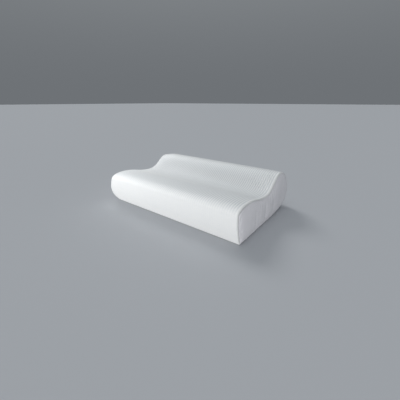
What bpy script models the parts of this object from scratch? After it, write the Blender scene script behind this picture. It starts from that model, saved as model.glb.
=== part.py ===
"""Contour bed pillow: a foam core in a jersey liner and a zipped knitted cover.

Frame: metres, +Z up, +X towards the right end, -Y towards the low front lobe.
The origin is the middle of the box's underside, so Z = 0 is what the pillow lies on.
The section (one slice across the pillow) is drawn with its own zero at the front
bottom seam: its first number runs back from that seam and its second runs up.
"""

import math

import bpy
from mathutils import Matrix, Vector

# ---- driving dimensions -------------------------------------------------------
LENGTH = 0.500                 # end panel to end panel
NOSE_OVERHANG = 0.019          # how far the front bulges past its bottom seam
NOSE_HEIGHT = 0.084            # height of the front's foremost line
FRONT_CREST_BACK = 0.026       # low lobe's crest, behind the front bottom seam
FRONT_CREST_HEIGHT = 0.104
DIP_BACK = 0.150               # the neck hollow
DIP_HEIGHT = 0.087
REAR_CREST_BACK = 0.239        # high lobe's crest
REAR_CREST_HEIGHT = 0.132
REAR_FACE_BACK = 0.3156        # the flat stretch at the back that carries the zip
REAR_FACE_MARGIN = 0.002       # flat cover beyond the zip tape, above and below it
REAR_TOE_BACK = 0.200          # where the underside starts to lift towards the back
CURVE_STEPS = 10               # straight pieces in each curved stretch
CORNER_STEPS = 6
FACE_STEPS = 8
THREAD_ROUNDNESS = 1
FOAM_EDGE_STEPS = 3
WELD_DISTANCE = 0.00001
FLAT_ANGLE = math.radians(0.2)     # faces closer to level than this are one face
CORNER_ANGLE = math.radians(60)    # only edges sharper than this are rounded
SHARPEST_MITRE = 0.5               # limits how far a sharp corner moves when it is inset
THREAD_SIDES = 10
TIP_STEPS = 8
HOLE_STEPS = 12

# How full each stretch of the section is: the length of its curve's handles, as a share of
# the stretch. 0.55 is a quarter of an ellipse, and less is flatter.
FRONT_FULLNESS = 0.33
NOSE_FULLNESS = 0.60
DIP_FULLNESS = 0.47
RISE_FULLNESS = 0.39
REAR_FULLNESS = 0.50
UNDER_FULLNESS = 0.55
TOE_FULLNESS = 0.55
TOE_LEAN = Vector((-0.39, 0.92)).normalized()   # the front's direction at the bottom seam

GAP = 0.0003                   # free space between neighbouring pieces
COVER_CLOTH = 0.0012           # knitted cover
LINER_CLOTH = 0.0008           # jersey liner
TAPE_CLOTH = 0.0005            # zip tape
LABEL_CLOTH = 0.0004
SEAM_THREAD_RADIUS = 0.0008    # overlocked seam allowance of the cover
LINER_THREAD_RADIUS = 0.0005
STITCH_RADIUS = 0.00025        # a row of topstitching
INNER_TOE_SIZE = 0.007         # liner and foam are rounded up to this height at the front seam
FOAM_EDGE_RADIUS = 0.004

ZIP_HEIGHT = 0.045             # centre line of the zip, above the underside
ZIP_EDGE_ROOM = 0.0010         # from the slider's side to the edge of the cover panel
COIL_GAP_HALF = 0.00075        # the slider's post passes between the two coils
COIL_WIDTH = 0.00215
COIL_THICKNESS = 0.0020
COIL_DEPTH = 0.0005            # outer face of the coils, behind the cover's outer face
TAPE_WIDTH = 0.0098
TOPSTITCH_INSET = 0.0025       # row of stitches, from the edge of the cover panel
STOP_LENGTH = 0.0030
STOP_THICKNESS = 0.0007
STOP_FROM_TAPE_END = 0.0230    # each stop's centre, from its end of the tape
TACK_LENGTH = 0.0025
TACK_THICKNESS = 0.0005
TACK_FROM_TAPE_END = 0.0090

SLIDER_LENGTH = 0.0120
SLIDER_FLANGE_ROOM = 0.0006    # from the coil's outer side to the slider's flange
SLIDER_PLATE = 0.0010
SLIDER_LIP = 0.0010            # width of the flanges that wrap the tape
POST_LENGTH = 0.0030
CROWN_LENGTH = 0.0076          # bridge that holds the pull
CROWN_WIDTH = 0.0024
CROWN_LEG = 0.0012
CROWN_BAR = 0.0008
PULL_LENGTH = 0.0260           # hinge axis to tip
PULL_THICKNESS = 0.0010
PULL_WIDTH = 0.0068
PULL_RAIL = 0.0012             # metal left on each side of the pull's slot
PULL_SLOT_END = 0.0048         # far end of the slot, from the hinge axis
PULL_HOLE_RADIUS = 0.0014
PULL_HOLE_FROM_TIP = 0.0040

RELIEF_ROOM = 0.0007           # free space between the slider and the liner behind it
RELIEF_FLAT_ROOM = 0.0035      # the full depth reaches this far past the edge of the cover panel
RELIEF_RUN = 0.0150            # and fades out over this

LABEL_WIDTH = 0.0300
LABEL_LENGTH = 0.0260
LABEL_X = -0.1500              # centre of the label along the pillow

# ---- values that follow from the ones above -----------------------------------
HALF = LENGTH / 2
TAPE_INNER = COIL_GAP_HALF + COIL_WIDTH + GAP
TAPE_REACH = TAPE_INNER + TAPE_WIDTH
SLIDER_WIDTH = 2 * (COIL_GAP_HALF + COIL_WIDTH + SLIDER_FLANGE_ROOM + SLIDER_LIP)
ZIP_OPENING_HALF = SLIDER_WIDTH / 2 + ZIP_EDGE_ROOM
TOPSTITCH_REACH = ZIP_OPENING_HALF + TOPSTITCH_INSET
REAR_FACE_LOW = ZIP_HEIGHT - TAPE_REACH - REAR_FACE_MARGIN
REAR_FACE_HIGH = ZIP_HEIGHT + TAPE_REACH + REAR_FACE_MARGIN
SEAM_ROOM = COVER_CLOTH + 2 * GAP + 2 * SEAM_THREAD_RADIUS
LINER_DEPTH = COVER_CLOTH + GAP
FOAM_DEPTH = LINER_DEPTH + LINER_CLOTH + GAP
LINER_HALF = HALF - SEAM_ROOM
FOAM_HALF = LINER_HALF - LINER_CLOTH - GAP
PANEL_HALF = HALF - COVER_CLOTH - GAP
TAPE_HALF = HALF - SEAM_ROOM
TAPE_DEPTH = COVER_CLOTH + GAP
PLATE_BOTTOM = COIL_DEPTH - GAP                     # depth of the outer plate's underside
INNER_PLATE_TOP = COIL_DEPTH + COIL_THICKNESS + GAP
RELIEF_DEPTH = INNER_PLATE_TOP + SLIDER_PLATE + RELIEF_ROOM - LINER_DEPTH
RELIEF_FLAT_HALF = ZIP_OPENING_HALF + RELIEF_FLAT_ROOM
OUTER_FACE = SLIDER_PLATE - PLATE_BOTTOM            # outer plate's face, past the cover
POST_HALF = COIL_GAP_HALF - GAP
BAR_SWEEP = PULL_THICKNESS * math.sqrt(0.5)         # the pull's square end bar turns in this radius
PIVOT_REACH = OUTER_FACE + GAP + BAR_SWEEP
CROWN_UNDER = PIVOT_REACH + BAR_SWEEP + GAP
CROWN_TOP = CROWN_UNDER + CROWN_BAR
STOP_X = TAPE_HALF - STOP_FROM_TAPE_END
CLOSED_X = STOP_X - STOP_LENGTH / 2 - GAP - SLIDER_LENGTH / 2
MIDDLE = (REAR_FACE_BACK + CROWN_TOP - NOSE_OVERHANG) / 2

COLLECTION = "contour_bed_pillow"
CUTTERS = "pillow_cutters"


# ---- scene and materials ------------------------------------------------------
def clear_scene():
    for old in list(bpy.data.objects):
        bpy.data.objects.remove(old, do_unlink=True)


def new_collection(name):
    collection = bpy.data.collections.new(name)
    bpy.context.scene.collection.children.link(collection)
    return collection


def finish(name, colour, roughness, metallic=0.0):
    material = bpy.data.materials.new(name)
    material.use_nodes = True
    shader = material.node_tree.nodes["Principled BSDF"]
    shader.inputs["Base Color"].default_value = (*colour, 1.0)
    shader.inputs["Roughness"].default_value = roughness
    shader.inputs["Metallic"].default_value = metallic
    return material


# ---- the section's curves -----------------------------------------------------
def bezier(start, start_handle, end_handle, end, steps=CURVE_STEPS):
    """Points along a cubic curve, without its last point."""
    points = []
    for step in range(steps):
        t = step / steps
        s = 1 - t
        points.append(s**3 * start + 3 * s * s * t * start_handle
                      + 3 * s * t * t * end_handle + t**3 * end)
    return points


def upper_path():
    """Front bottom seam, over both lobes, to the top of the flat rear face."""
    toe = Vector((0.0, 0.0))
    nose = Vector((-NOSE_OVERHANG, NOSE_HEIGHT))
    front_crest = Vector((FRONT_CREST_BACK, FRONT_CREST_HEIGHT))
    dip = Vector((DIP_BACK, DIP_HEIGHT))
    rear_crest = Vector((REAR_CREST_BACK, REAR_CREST_HEIGHT))
    rear_top = Vector((REAR_FACE_BACK, REAR_FACE_HIGH))
    up = Vector((0.0, 1.0))
    back = Vector((1.0, 0.0))
    over_nose = front_crest - nose
    to_dip = (dip - front_crest).x
    to_crest = (rear_crest - dip).x
    fall = rear_top - rear_crest
    points = bezier(toe, toe + TOE_LEAN * NOSE_HEIGHT * FRONT_FULLNESS,
                    nose - up * NOSE_HEIGHT * FRONT_FULLNESS, nose)
    points += bezier(nose, nose + up * over_nose.y * NOSE_FULLNESS,
                     front_crest - back * over_nose.x * NOSE_FULLNESS, front_crest)
    points += bezier(front_crest, front_crest + back * to_dip * DIP_FULLNESS,
                     dip - back * to_dip * DIP_FULLNESS, dip)
    points += bezier(dip, dip + back * to_crest * RISE_FULLNESS,
                     rear_crest - back * to_crest * RISE_FULLNESS, rear_crest)
    points += bezier(rear_crest, rear_crest + back * fall.x * REAR_FULLNESS,
                     rear_top - up * fall.y * REAR_FULLNESS, rear_top)
    points.append(rear_top)
    return points


def lower_path():
    """Bottom of the flat rear face, round the rear corner and along the underside."""
    rear_low = Vector((REAR_FACE_BACK, REAR_FACE_LOW))
    rear_toe = Vector((REAR_TOE_BACK, 0.0))
    drop = Vector((0.0, -UNDER_FULLNESS * REAR_FACE_LOW))
    reach = Vector((UNDER_FULLNESS * (REAR_FACE_BACK - REAR_TOE_BACK), 0.0))
    points = bezier(rear_low, rear_low + drop, rear_toe + reach, rear_toe)
    points.append(rear_toe)
    return points


def rear_face_path():
    """Evenly spaced points down the flat rear face, without its ends."""
    rise = REAR_FACE_HIGH - REAR_FACE_LOW
    return [Vector((REAR_FACE_BACK, REAR_FACE_HIGH - rise * step / FACE_STEPS))
            for step in range(1, FACE_STEPS)]


def soft_outline():
    """The closed outline that liner and foam follow: its front bottom corner is rounded."""
    upper = [point for point in upper_path() if point.y > INNER_TOE_SIZE]
    end = upper[0]
    start = Vector((end.length, 0.0))
    short = 1 - TOE_FULLNESS
    corner = bezier(start, start * short, end * short, end, CORNER_STEPS)
    return corner + upper + rear_face_path() + lower_path()


def relief(point):
    """Extra depth behind the zip, zero away from it."""
    if point.x < DIP_BACK:
        return 0.0
    away = abs(point.y - ZIP_HEIGHT)
    t = 1 - (away - RELIEF_FLAT_HALF) / RELIEF_RUN
    t = min(max(t, 0.0), 1.0)
    return RELIEF_DEPTH * t * t * (3 - 2 * t)


def inset(points, depth, closed=True, give_way=False):
    """Move a path inwards. Paths run front, top, back, underside, so inwards is on the right."""
    moved = []
    count = len(points)
    for index, point in enumerate(points):
        before = points[index - 1] if closed or index > 0 else point
        after = points[(index + 1) % count] if closed or index < count - 1 else point
        into = (point - before).normalized()
        out_of = (after - point).normalized()
        along = (into + out_of).normalized()
        inwards = Vector((along.y, -along.x))
        total = depth + (relief(point) if give_way else 0.0)
        side = into if into.length > 0 else out_of      # an open path starts with no way in
        stretch = max(along.dot(side), SHARPEST_MITRE)
        moved.append(point + inwards * total / stretch)
    return moved


def strip(path, outer_depth, thickness):
    """The closed section of a sheet that follows an open path."""
    outer = inset(path, outer_depth, closed=False)
    inner = inset(path, outer_depth + thickness, closed=False)
    return outer + inner[::-1]


# ---- making objects -----------------------------------------------------------
def section_matrix(x_middle):
    """Section across -> world Y, section up -> world Z, thickness -> world X."""
    turn = Matrix(((0, 0, 1), (1, 0, 0), (0, 1, 0))).to_4x4()
    return Matrix.Translation((x_middle, -MIDDLE, 0.0)) @ turn


def closed_curve(name, loops, material):
    """A curve object of closed runs of straight pieces, drawn in its own XY plane."""
    curve = bpy.data.curves.new(name, "CURVE")
    for loop in loops:
        spline = curve.splines.new("POLY")
        spline.points.add(len(loop) - 1)
        for point, place in zip(spline.points, loop):
            point.co = (place.x, place.y, 0.0, 1.0)
        spline.use_cyclic_u = True
    curve.materials.append(material)
    piece = bpy.data.objects.new(name, curve)
    parts.objects.link(piece)
    return piece


def plate(name, outlines, thickness, material):
    """A flat outline, with any holes after it, filled and given a thickness."""
    piece = closed_curve(name, outlines, material)
    piece.data.dimensions = "2D"
    piece.data.fill_mode = "BOTH"
    piece.data.extrude = thickness / 2
    return piece


def extrusion(name, outlines, x_low, x_high, material):
    """A shape that keeps the same section all the way from one X to another."""
    piece = plate(name, outlines, x_high - x_low, material)
    piece.matrix_world = section_matrix((x_low + x_high) / 2)
    return piece


def loop_thread(name, path, x, radius, material):
    """A closed run of thread that follows the section at one place along the pillow."""
    piece = closed_curve(name, [path], material)
    piece.data.dimensions = "3D"
    piece.data.bevel_depth = radius
    piece.data.bevel_resolution = THREAD_ROUNDNESS
    piece.matrix_world = section_matrix(x)
    return piece


def straight_thread(name, centre, half_length, radius, material):
    """A round thread along X at one point of the section."""
    bpy.ops.mesh.primitive_cylinder_add(vertices=THREAD_SIDES, radius=radius, depth=2 * half_length)
    piece = bpy.context.object
    piece.name = name
    piece.data.name = name
    piece.rotation_euler = (0.0, math.pi / 2, 0.0)
    piece.location = (0.0, centre.x - MIDDLE, centre.y)
    piece.data.materials.append(material)
    piece.data.shade_smooth()
    move_to(piece, parts)
    return piece


def move_to(piece, collection):
    for holder in list(piece.users_collection):
        holder.objects.unlink(piece)
    collection.objects.link(piece)


def box(name, low, high, material, collection, parent=None):
    """A box between two corners, given from the zip: X along it, Y out of it, Z up."""
    low = Vector(low)
    high = Vector(high)
    bpy.ops.mesh.primitive_cube_add(size=1.0)
    piece = bpy.context.object
    piece.name = name
    piece.data.name = name
    size = high - low
    piece.data.transform(Matrix.Diagonal((*size, 1.0)))
    piece.data.materials.append(material)
    if parent is None:
        piece.location = zip_point() + (low + high) / 2
    else:
        piece.parent = parent
        piece.location = (low + high) / 2
    move_to(piece, collection)
    return piece


def zip_point(x=0.0):
    """A place on the zip's centre line, level with the cover's outer face."""
    return Vector((x, REAR_FACE_BACK - MIDDLE, ZIP_HEIGHT))


def unite(piece, other):
    other.hide_render = True
    other.display_type = "WIRE"
    union = piece.modifiers.new("join_" + other.name, "BOOLEAN")
    union.operation = "UNION"
    union.solver = "EXACT"
    union.object = other


def empty_at(name, place, parent=None):
    empty = bpy.data.objects.new(name, None)
    empty.empty_display_size = 0.01
    empty.location = place
    empty.parent = parent
    parts.objects.link(empty)
    return empty


# ---- the foam and its liner ---------------------------------------------------
def make_foam_core():
    outline = inset(soft_outline(), FOAM_DEPTH, give_way=True)
    core = extrusion("foam_core", [outline], -FOAM_HALF, FOAM_HALF, foam)
    weld = core.modifiers.new("close_ends", "WELD")
    weld.merge_threshold = WELD_DISTANCE
    flat = core.modifiers.new("one_face_per_end", "DECIMATE")
    flat.decimate_type = "DISSOLVE"
    flat.angle_limit = FLAT_ANGLE
    edge = core.modifiers.new("round_ends", "BEVEL")
    edge.width = FOAM_EDGE_RADIUS
    edge.segments = FOAM_EDGE_STEPS
    edge.limit_method = "ANGLE"
    edge.angle_limit = CORNER_ANGLE


def make_liner():
    outer = inset(soft_outline(), LINER_DEPTH, give_way=True)
    inner = inset(soft_outline(), LINER_DEPTH + LINER_CLOTH, give_way=True)
    extrusion("liner_sleeve", [outer, inner], -FOAM_HALF, FOAM_HALF, jersey)
    thread_path = inset(soft_outline(), FOAM_DEPTH + LINER_THREAD_RADIUS, give_way=True)
    thread_x = LINER_HALF - LINER_CLOTH - GAP - LINER_THREAD_RADIUS
    for side, name in ((-1, "left"), (1, "right")):
        near = side * LINER_HALF
        far = side * (LINER_HALF - LINER_CLOTH)
        extrusion("liner_%s_end" % name, [outer], min(near, far), max(near, far), jersey)
        loop_thread("liner_%s_seam_thread" % name, thread_path, side * thread_x,
                    LINER_THREAD_RADIUS, thread)


# ---- the cover ----------------------------------------------------------------
def make_main_panel():
    """Ribbed panel: up the front, over both lobes and down to the zip."""
    lowest = COVER_CLOTH + GAP
    start = TOE_LEAN * (lowest / TOE_LEAN.y)
    path = [start] + upper_path()[1:]
    path.append(Vector((REAR_FACE_BACK, ZIP_HEIGHT + ZIP_OPENING_HALF)))
    outline = strip(path, 0.0, COVER_CLOTH)
    extrusion("cover_main_panel", [outline], -PANEL_HALF, PANEL_HALF, knit)


def make_base_panel():
    """Plain panel: from the zip round the rear corner and under to the front bottom seam."""
    path = [Vector((REAR_FACE_BACK, ZIP_HEIGHT - ZIP_OPENING_HALF))]
    path += lower_path()
    path.append(Vector((0.0, 0.0)))
    outline = strip(path, 0.0, COVER_CLOTH)
    extrusion("cover_base_panel", [outline], -PANEL_HALF, PANEL_HALF, base_knit)


def make_end_panels():
    outline = upper_path() + lower_path()
    thread_path = inset(soft_outline(), LINER_DEPTH + SEAM_THREAD_RADIUS)
    thread_x = PANEL_HALF - SEAM_THREAD_RADIUS
    for side, name in ((-1, "left"), (1, "right")):
        near = side * HALF
        far = side * (HALF - COVER_CLOTH)
        extrusion("cover_%s_end_panel" % name, [outline], min(near, far), max(near, far), base_knit)
        loop_thread("cover_%s_seam_thread" % name, thread_path, side * thread_x,
                    SEAM_THREAD_RADIUS, thread)


def make_front_seam():
    """The seam allowance tucked inside the front bottom corner."""
    reach = COVER_CLOTH + GAP + SEAM_THREAD_RADIUS
    across = (reach + reach * TOE_LEAN.x) / TOE_LEAN.y
    straight_thread("cover_front_seam_thread", Vector((across, reach)), TAPE_HALF,
                    SEAM_THREAD_RADIUS, thread)


def make_care_label():
    """Blank satin label, sewn under the lower row of topstitching."""
    top = ZIP_HEIGHT - TOPSTITCH_REACH - STITCH_RADIUS - GAP
    path = [Vector((REAR_FACE_BACK, top))]
    left = LABEL_LENGTH - (top - REAR_FACE_LOW)  # length still to lay round the corner
    corner = lower_path()
    path.append(corner[0])
    for before, after in zip(corner, corner[1:]):
        left -= (after - before).length
        if left < 0:
            break
        path.append(after)
    outline = strip(path, -GAP - LABEL_CLOTH, LABEL_CLOTH)
    extrusion("care_label", [outline], LABEL_X - LABEL_WIDTH / 2, LABEL_X + LABEL_WIDTH / 2,
              satin)


# ---- the zip ------------------------------------------------------------------
def make_zip_chain():
    for side, name in ((1, "upper"), (-1, "lower")):
        tape_edges = sorted((side * TAPE_INNER, side * TAPE_REACH))
        box("zip_tape_" + name, (-TAPE_HALF, -TAPE_DEPTH - TAPE_CLOTH, tape_edges[0]),
            (TAPE_HALF, -TAPE_DEPTH, tape_edges[1]), tape, parts)
        coil_edges = sorted((side * COIL_GAP_HALF, side * (COIL_GAP_HALF + COIL_WIDTH)))
        box("zip_coil_" + name, (-TAPE_HALF, -COIL_DEPTH - COIL_THICKNESS, coil_edges[0]),
            (TAPE_HALF, -COIL_DEPTH, coil_edges[1]), coil, parts)
        stitch = Vector((REAR_FACE_BACK + GAP + STITCH_RADIUS, ZIP_HEIGHT + side * TOPSTITCH_REACH))
        straight_thread("zip_topstitch_" + name, stitch, PANEL_HALF, STITCH_RADIUS, thread)


def make_zip_ends():
    stop_half = COIL_GAP_HALF + COIL_WIDTH
    for side, name in ((1, "zip_top_stop"), (-1, "zip_bottom_stop")):
        box(name, (side * STOP_X - STOP_LENGTH / 2, GAP - COIL_DEPTH, -stop_half),
            (side * STOP_X + STOP_LENGTH / 2, GAP - COIL_DEPTH + STOP_THICKNESS, stop_half),
            zinc, parts)
    tack_x = TAPE_HALF - TACK_FROM_TAPE_END
    tack_half = TOPSTITCH_REACH - STITCH_RADIUS - GAP
    for side, name in ((-1, "zip_tack_left"), (1, "zip_tack_right")):
        box(name, (side * tack_x - TACK_LENGTH / 2, GAP, -tack_half),
            (side * tack_x + TACK_LENGTH / 2, GAP + TACK_THICKNESS, tack_half), thread, parts)


def make_slider(origin):
    """Two plates joined by a post that runs between the coils, flanges that wrap the tapes,
    and a bridge that holds the pull. Its origin empty is on the zip's centre line."""
    half = SLIDER_LENGTH / 2
    wide = SLIDER_WIDTH / 2
    bite = SLIDER_PLATE / 4                  # how far joined boxes run into each other
    slider = box("zip_slider", (-half, -PLATE_BOTTOM, -wide), (half, OUTER_FACE, wide), zinc,
                 parts, origin)
    inner_low = -INNER_PLATE_TOP - SLIDER_PLATE
    pieces = [((-half, inner_low, -wide), (half, -INNER_PLATE_TOP, wide)),
              ((half - 2 * POST_LENGTH, inner_low + bite, -POST_HALF),
               (half - POST_LENGTH, OUTER_FACE - bite, POST_HALF))]
    for side in (-1, 1):
        edges = sorted((side * wide, side * (wide - SLIDER_LIP)))
        pieces.append(((-half, GAP - TAPE_DEPTH, edges[0]), (half, bite - PLATE_BOTTOM, edges[1])))
        pieces.append(((-half, -INNER_PLATE_TOP - bite, edges[0]),
                       (half, -TAPE_DEPTH - TAPE_CLOTH - GAP, edges[1])))
        legs = sorted((side * CROWN_LENGTH / 2, side * (CROWN_LENGTH / 2 - CROWN_LEG)))
        pieces.append(((legs[0], OUTER_FACE - bite, -CROWN_WIDTH / 2),
                       (legs[1], CROWN_UNDER + bite, CROWN_WIDTH / 2)))
    pieces.append(((-CROWN_LENGTH / 2, CROWN_UNDER, -CROWN_WIDTH / 2),
                   (CROWN_LENGTH / 2, CROWN_TOP, CROWN_WIDTH / 2)))
    for number, (low, high) in enumerate(pieces):
        unite(slider, box("slider_block_%d" % number, low, high, zinc, cutters, origin))


def make_pull(hinge):
    """A flat tab whose end bar lies under the bridge; the slot lets it swing over the bridge.
    Its origin empty is on the hinge axis, which runs across the zip."""
    bar = PULL_THICKNESS / 2
    rail_half = CROWN_WIDTH / 2 + GAP + PULL_RAIL
    slot_half = CROWN_WIDTH / 2 + GAP
    tip = PULL_WIDTH / 2
    outer = [Vector((bar, rail_half)), Vector((bar, -rail_half)),
             Vector((-PULL_SLOT_END, -rail_half)), Vector((-PULL_SLOT_END - PULL_RAIL, -tip))]
    for step in range(TIP_STEPS + 1):
        angle = -math.pi / 2 - math.pi * step / TIP_STEPS
        outer.append(Vector((tip - PULL_LENGTH + tip * math.cos(angle), tip * math.sin(angle))))
    outer += [Vector((-PULL_SLOT_END - PULL_RAIL, tip)), Vector((-PULL_SLOT_END, rail_half))]
    slot = [Vector((-bar, -slot_half)), Vector((-bar, slot_half)),
            Vector((-PULL_SLOT_END, slot_half)), Vector((-PULL_SLOT_END, -slot_half))]
    hole = []
    for step in range(HOLE_STEPS):
        angle = 2 * math.pi * step / HOLE_STEPS
        hole.append(Vector((PULL_HOLE_FROM_TIP - PULL_LENGTH + PULL_HOLE_RADIUS * math.cos(angle),
                            PULL_HOLE_RADIUS * math.sin(angle))))
    pull = plate("zip_pull", [outer, slot, hole], PULL_THICKNESS, zinc)
    pull.parent = hinge
    pull.rotation_euler = (math.pi / 2, 0.0, 0.0)


def make_zip():
    make_zip_chain()
    make_zip_ends()
    slider_origin = empty_at("slider_origin", zip_point(CLOSED_X))
    make_slider(slider_origin)
    hinge = empty_at("pull_hinge", (0.0, PIVOT_REACH, 0.0), slider_origin)
    make_pull(hinge)


clear_scene()
parts = new_collection(COLLECTION)
cutters = new_collection(CUTTERS)
knit = finish("ribbed_cover_knit", (0.86, 0.87, 0.88), 0.85)
base_knit = finish("plain_cover_knit", (0.80, 0.79, 0.80), 0.9)
jersey = finish("liner_jersey", (0.88, 0.88, 0.86), 0.9)
foam = finish("memory_foam", (0.90, 0.87, 0.74), 0.95)
thread = finish("polyester_thread", (0.90, 0.90, 0.90), 0.6)
tape = finish("woven_zip_tape", (0.88, 0.88, 0.88), 0.8)
coil = finish("nylon_coil", (0.88, 0.88, 0.87), 0.4)
zinc = finish("plated_zinc", (0.72, 0.72, 0.73), 0.3, 1.0)
satin = finish("satin_label", (0.93, 0.93, 0.93), 0.5)
make_foam_core()
make_liner()
make_main_panel()
make_base_panel()
make_end_panels()
make_front_seam()
make_care_label()
make_zip()
bpy.context.view_layer.update()
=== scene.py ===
# %% [markdown]
# # Contour bed pillow
#
# A block of memory foam with a low front lobe, a neck hollow and a high rear lobe sits in
# a thin jersey liner. Over that goes a washable knitted cover: one ribbed panel that runs
# up the front, over both lobes and down the back, a plain panel underneath, two plain end
# panels, and a nylon coil zip low on the back.
#
# Everything is in metres. +X is the pillow's length, -Y is the low front lobe, +Z is up,
# and Z = 0 is the surface the pillow lies on.

import math

import bmesh
import bpy
import numpy as np
from mathutils import Matrix, Vector


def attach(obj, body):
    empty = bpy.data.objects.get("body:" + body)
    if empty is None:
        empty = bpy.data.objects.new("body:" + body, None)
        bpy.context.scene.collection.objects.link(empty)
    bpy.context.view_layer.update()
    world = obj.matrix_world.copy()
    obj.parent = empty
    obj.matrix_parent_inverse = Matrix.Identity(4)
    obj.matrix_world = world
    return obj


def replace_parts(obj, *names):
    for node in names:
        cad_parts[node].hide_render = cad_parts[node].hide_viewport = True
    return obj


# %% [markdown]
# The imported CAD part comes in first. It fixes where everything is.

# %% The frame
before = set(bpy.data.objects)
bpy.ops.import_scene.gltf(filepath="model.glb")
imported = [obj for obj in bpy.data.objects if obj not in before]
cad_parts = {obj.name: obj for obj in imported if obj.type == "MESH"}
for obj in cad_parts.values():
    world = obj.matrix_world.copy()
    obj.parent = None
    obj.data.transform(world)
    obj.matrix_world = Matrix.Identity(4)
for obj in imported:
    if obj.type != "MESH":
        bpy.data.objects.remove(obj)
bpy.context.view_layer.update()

# %% [markdown]
# ## Camera, floor and light
#
# The pillow is seen from above its front right corner. A wide lens close to it makes the
# right end look large and the left end small. The camera is turned by two angles, round
# and down, which is easier to read than aiming it with a constraint.

# %% Camera
CAMERA_AZIMUTH = math.radians(37.385)
CAMERA_PITCH = math.radians(22.616)
CAMERA_PLACE = Vector((0.47268, -0.60563, 0.32943))
CAMERA_LENS = 21.375
NEAREST_SEEN = 0.01
FARTHEST_SEEN = 100.0

camera = bpy.data.objects.new("camera", bpy.data.cameras.new("camera"))
bpy.context.scene.collection.objects.link(camera)
camera.data.lens = CAMERA_LENS
camera.data.clip_start = NEAREST_SEEN
camera.data.clip_end = FARTHEST_SEEN
camera.location = CAMERA_PLACE
camera.rotation_euler = (math.pi / 2 - CAMERA_PITCH, 0.0, CAMERA_AZIMUTH)
bpy.context.scene.camera = camera
print("camera stands %.2f m from the middle of the base" % CAMERA_PLACE.length)

# %% [markdown]
# Colours are written as the hex value the eye would read off a screen, and one function
# turns them into the linear values the renderer works in.

# %% Colours
def linear(hex_colour):
    """A six digit sRGB hex colour as linear red, green, blue and 1."""
    values = [int(hex_colour[k:k + 2], 16) / 255 for k in (0, 2, 4)]
    return (*[v / 12.92 if v <= 0.04045 else ((v + 0.055) / 1.055) ** 2.4 for v in values], 1.0)


print("middle grey 808080 is %.3f in linear light" % linear("808080")[0])

# %% [markdown]
# A material is a small machine of nodes. Adding one by hand takes four steps: make it, set
# its choices, fill its inputs, link its output. One function does all four for any kind of
# node, so each material below reads as a list of its nodes from first to last.

# %% Nodes and materials
MIX_FACTOR, MIX_FIRST, MIX_SECOND, MIXED = 0, 6, 7, 2    # a colour mix node's sockets
NOISE_DETAIL = 3.0             # how many finer layers each noise pattern has


def add_node(material, kind, inputs=(), output=0, feeds=None, **settings):
    """Adds a node. Its inputs, by name or in order, are values or other nodes' sockets. It
    gives back one output, which may also feed an input of the principled shader."""
    tree = material.node_tree
    node = tree.nodes.new(kind)
    for name, value in settings.items():
        setattr(node, name, value)
    for key, value in inputs.items() if isinstance(inputs, dict) else enumerate(inputs):
        if isinstance(value, bpy.types.NodeSocket):
            tree.links.new(value, node.inputs[key])
        else:
            node.inputs[key].default_value = value
    if feeds:
        tree.links.new(node.outputs[output], tree.nodes["Principled BSDF"].inputs[feeds])
    return node.outputs[output]


def new_material(name, colour, roughness, **inputs):
    """A material whose principled shader has these constant values."""
    material = bpy.data.materials.new(name)
    material.use_nodes = True
    shader = material.node_tree.nodes["Principled BSDF"]
    shader.inputs["Base Color"].default_value = linear(colour)
    shader.inputs["Roughness"].default_value = roughness
    for key, value in inputs.items():
        shader.inputs[key.replace("_", " ")].default_value = value
    return material

# %% [markdown]
# ## Knitted cloth
#
# A knit is made of loops. Seen from the right side, each upright column of loops (a wale)
# looks like a chain of small Vs, and one row of loops is a course. The pattern reads the
# panel's flat position in metres, so the Vs run along the cloth however it is bent. Folding
# the distance across a wale makes the two legs of each V, and a sine along the slanted leg
# makes the loops. The yarn stands a little proud, and the gaps between loops are painted
# darker as shade. An image of knitting would repeat and blur close up; worked out from a
# formula, it does not.

# %% Knit pattern
LOOP_SLANT = 0.9               # how steeply the legs of a V run
GAP_SHADE = 0.35               # how deep the notches between loops are, in the relief and in the painted shade
PATCH_SIZE = 0.014             # soft patches of thicker and thinner yarn
PATCH_SHARE = 0.35             # how much of the tint they make
FIBRE_SIZE = 0.004
KNIT_ROUGHNESS = 0.9
KNIT_ROUGHNESS_LOW = 0.82      # loose fibres make it vary between these
KNIT_ROUGHNESS_HIGH = 0.96
HALO_SPREAD = 0.45             # how wide an angle the fibre halo is seen from


def cut_place(material):
    """The flat position of a cloth point, and how far across and along it lies."""
    cut = add_node(material, "ShaderNodeUVMap", uv_map="cut")
    across = add_node(material, "ShaderNodeSeparateXYZ", [cut])
    return cut, across, across.node.outputs["Y"]


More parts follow.
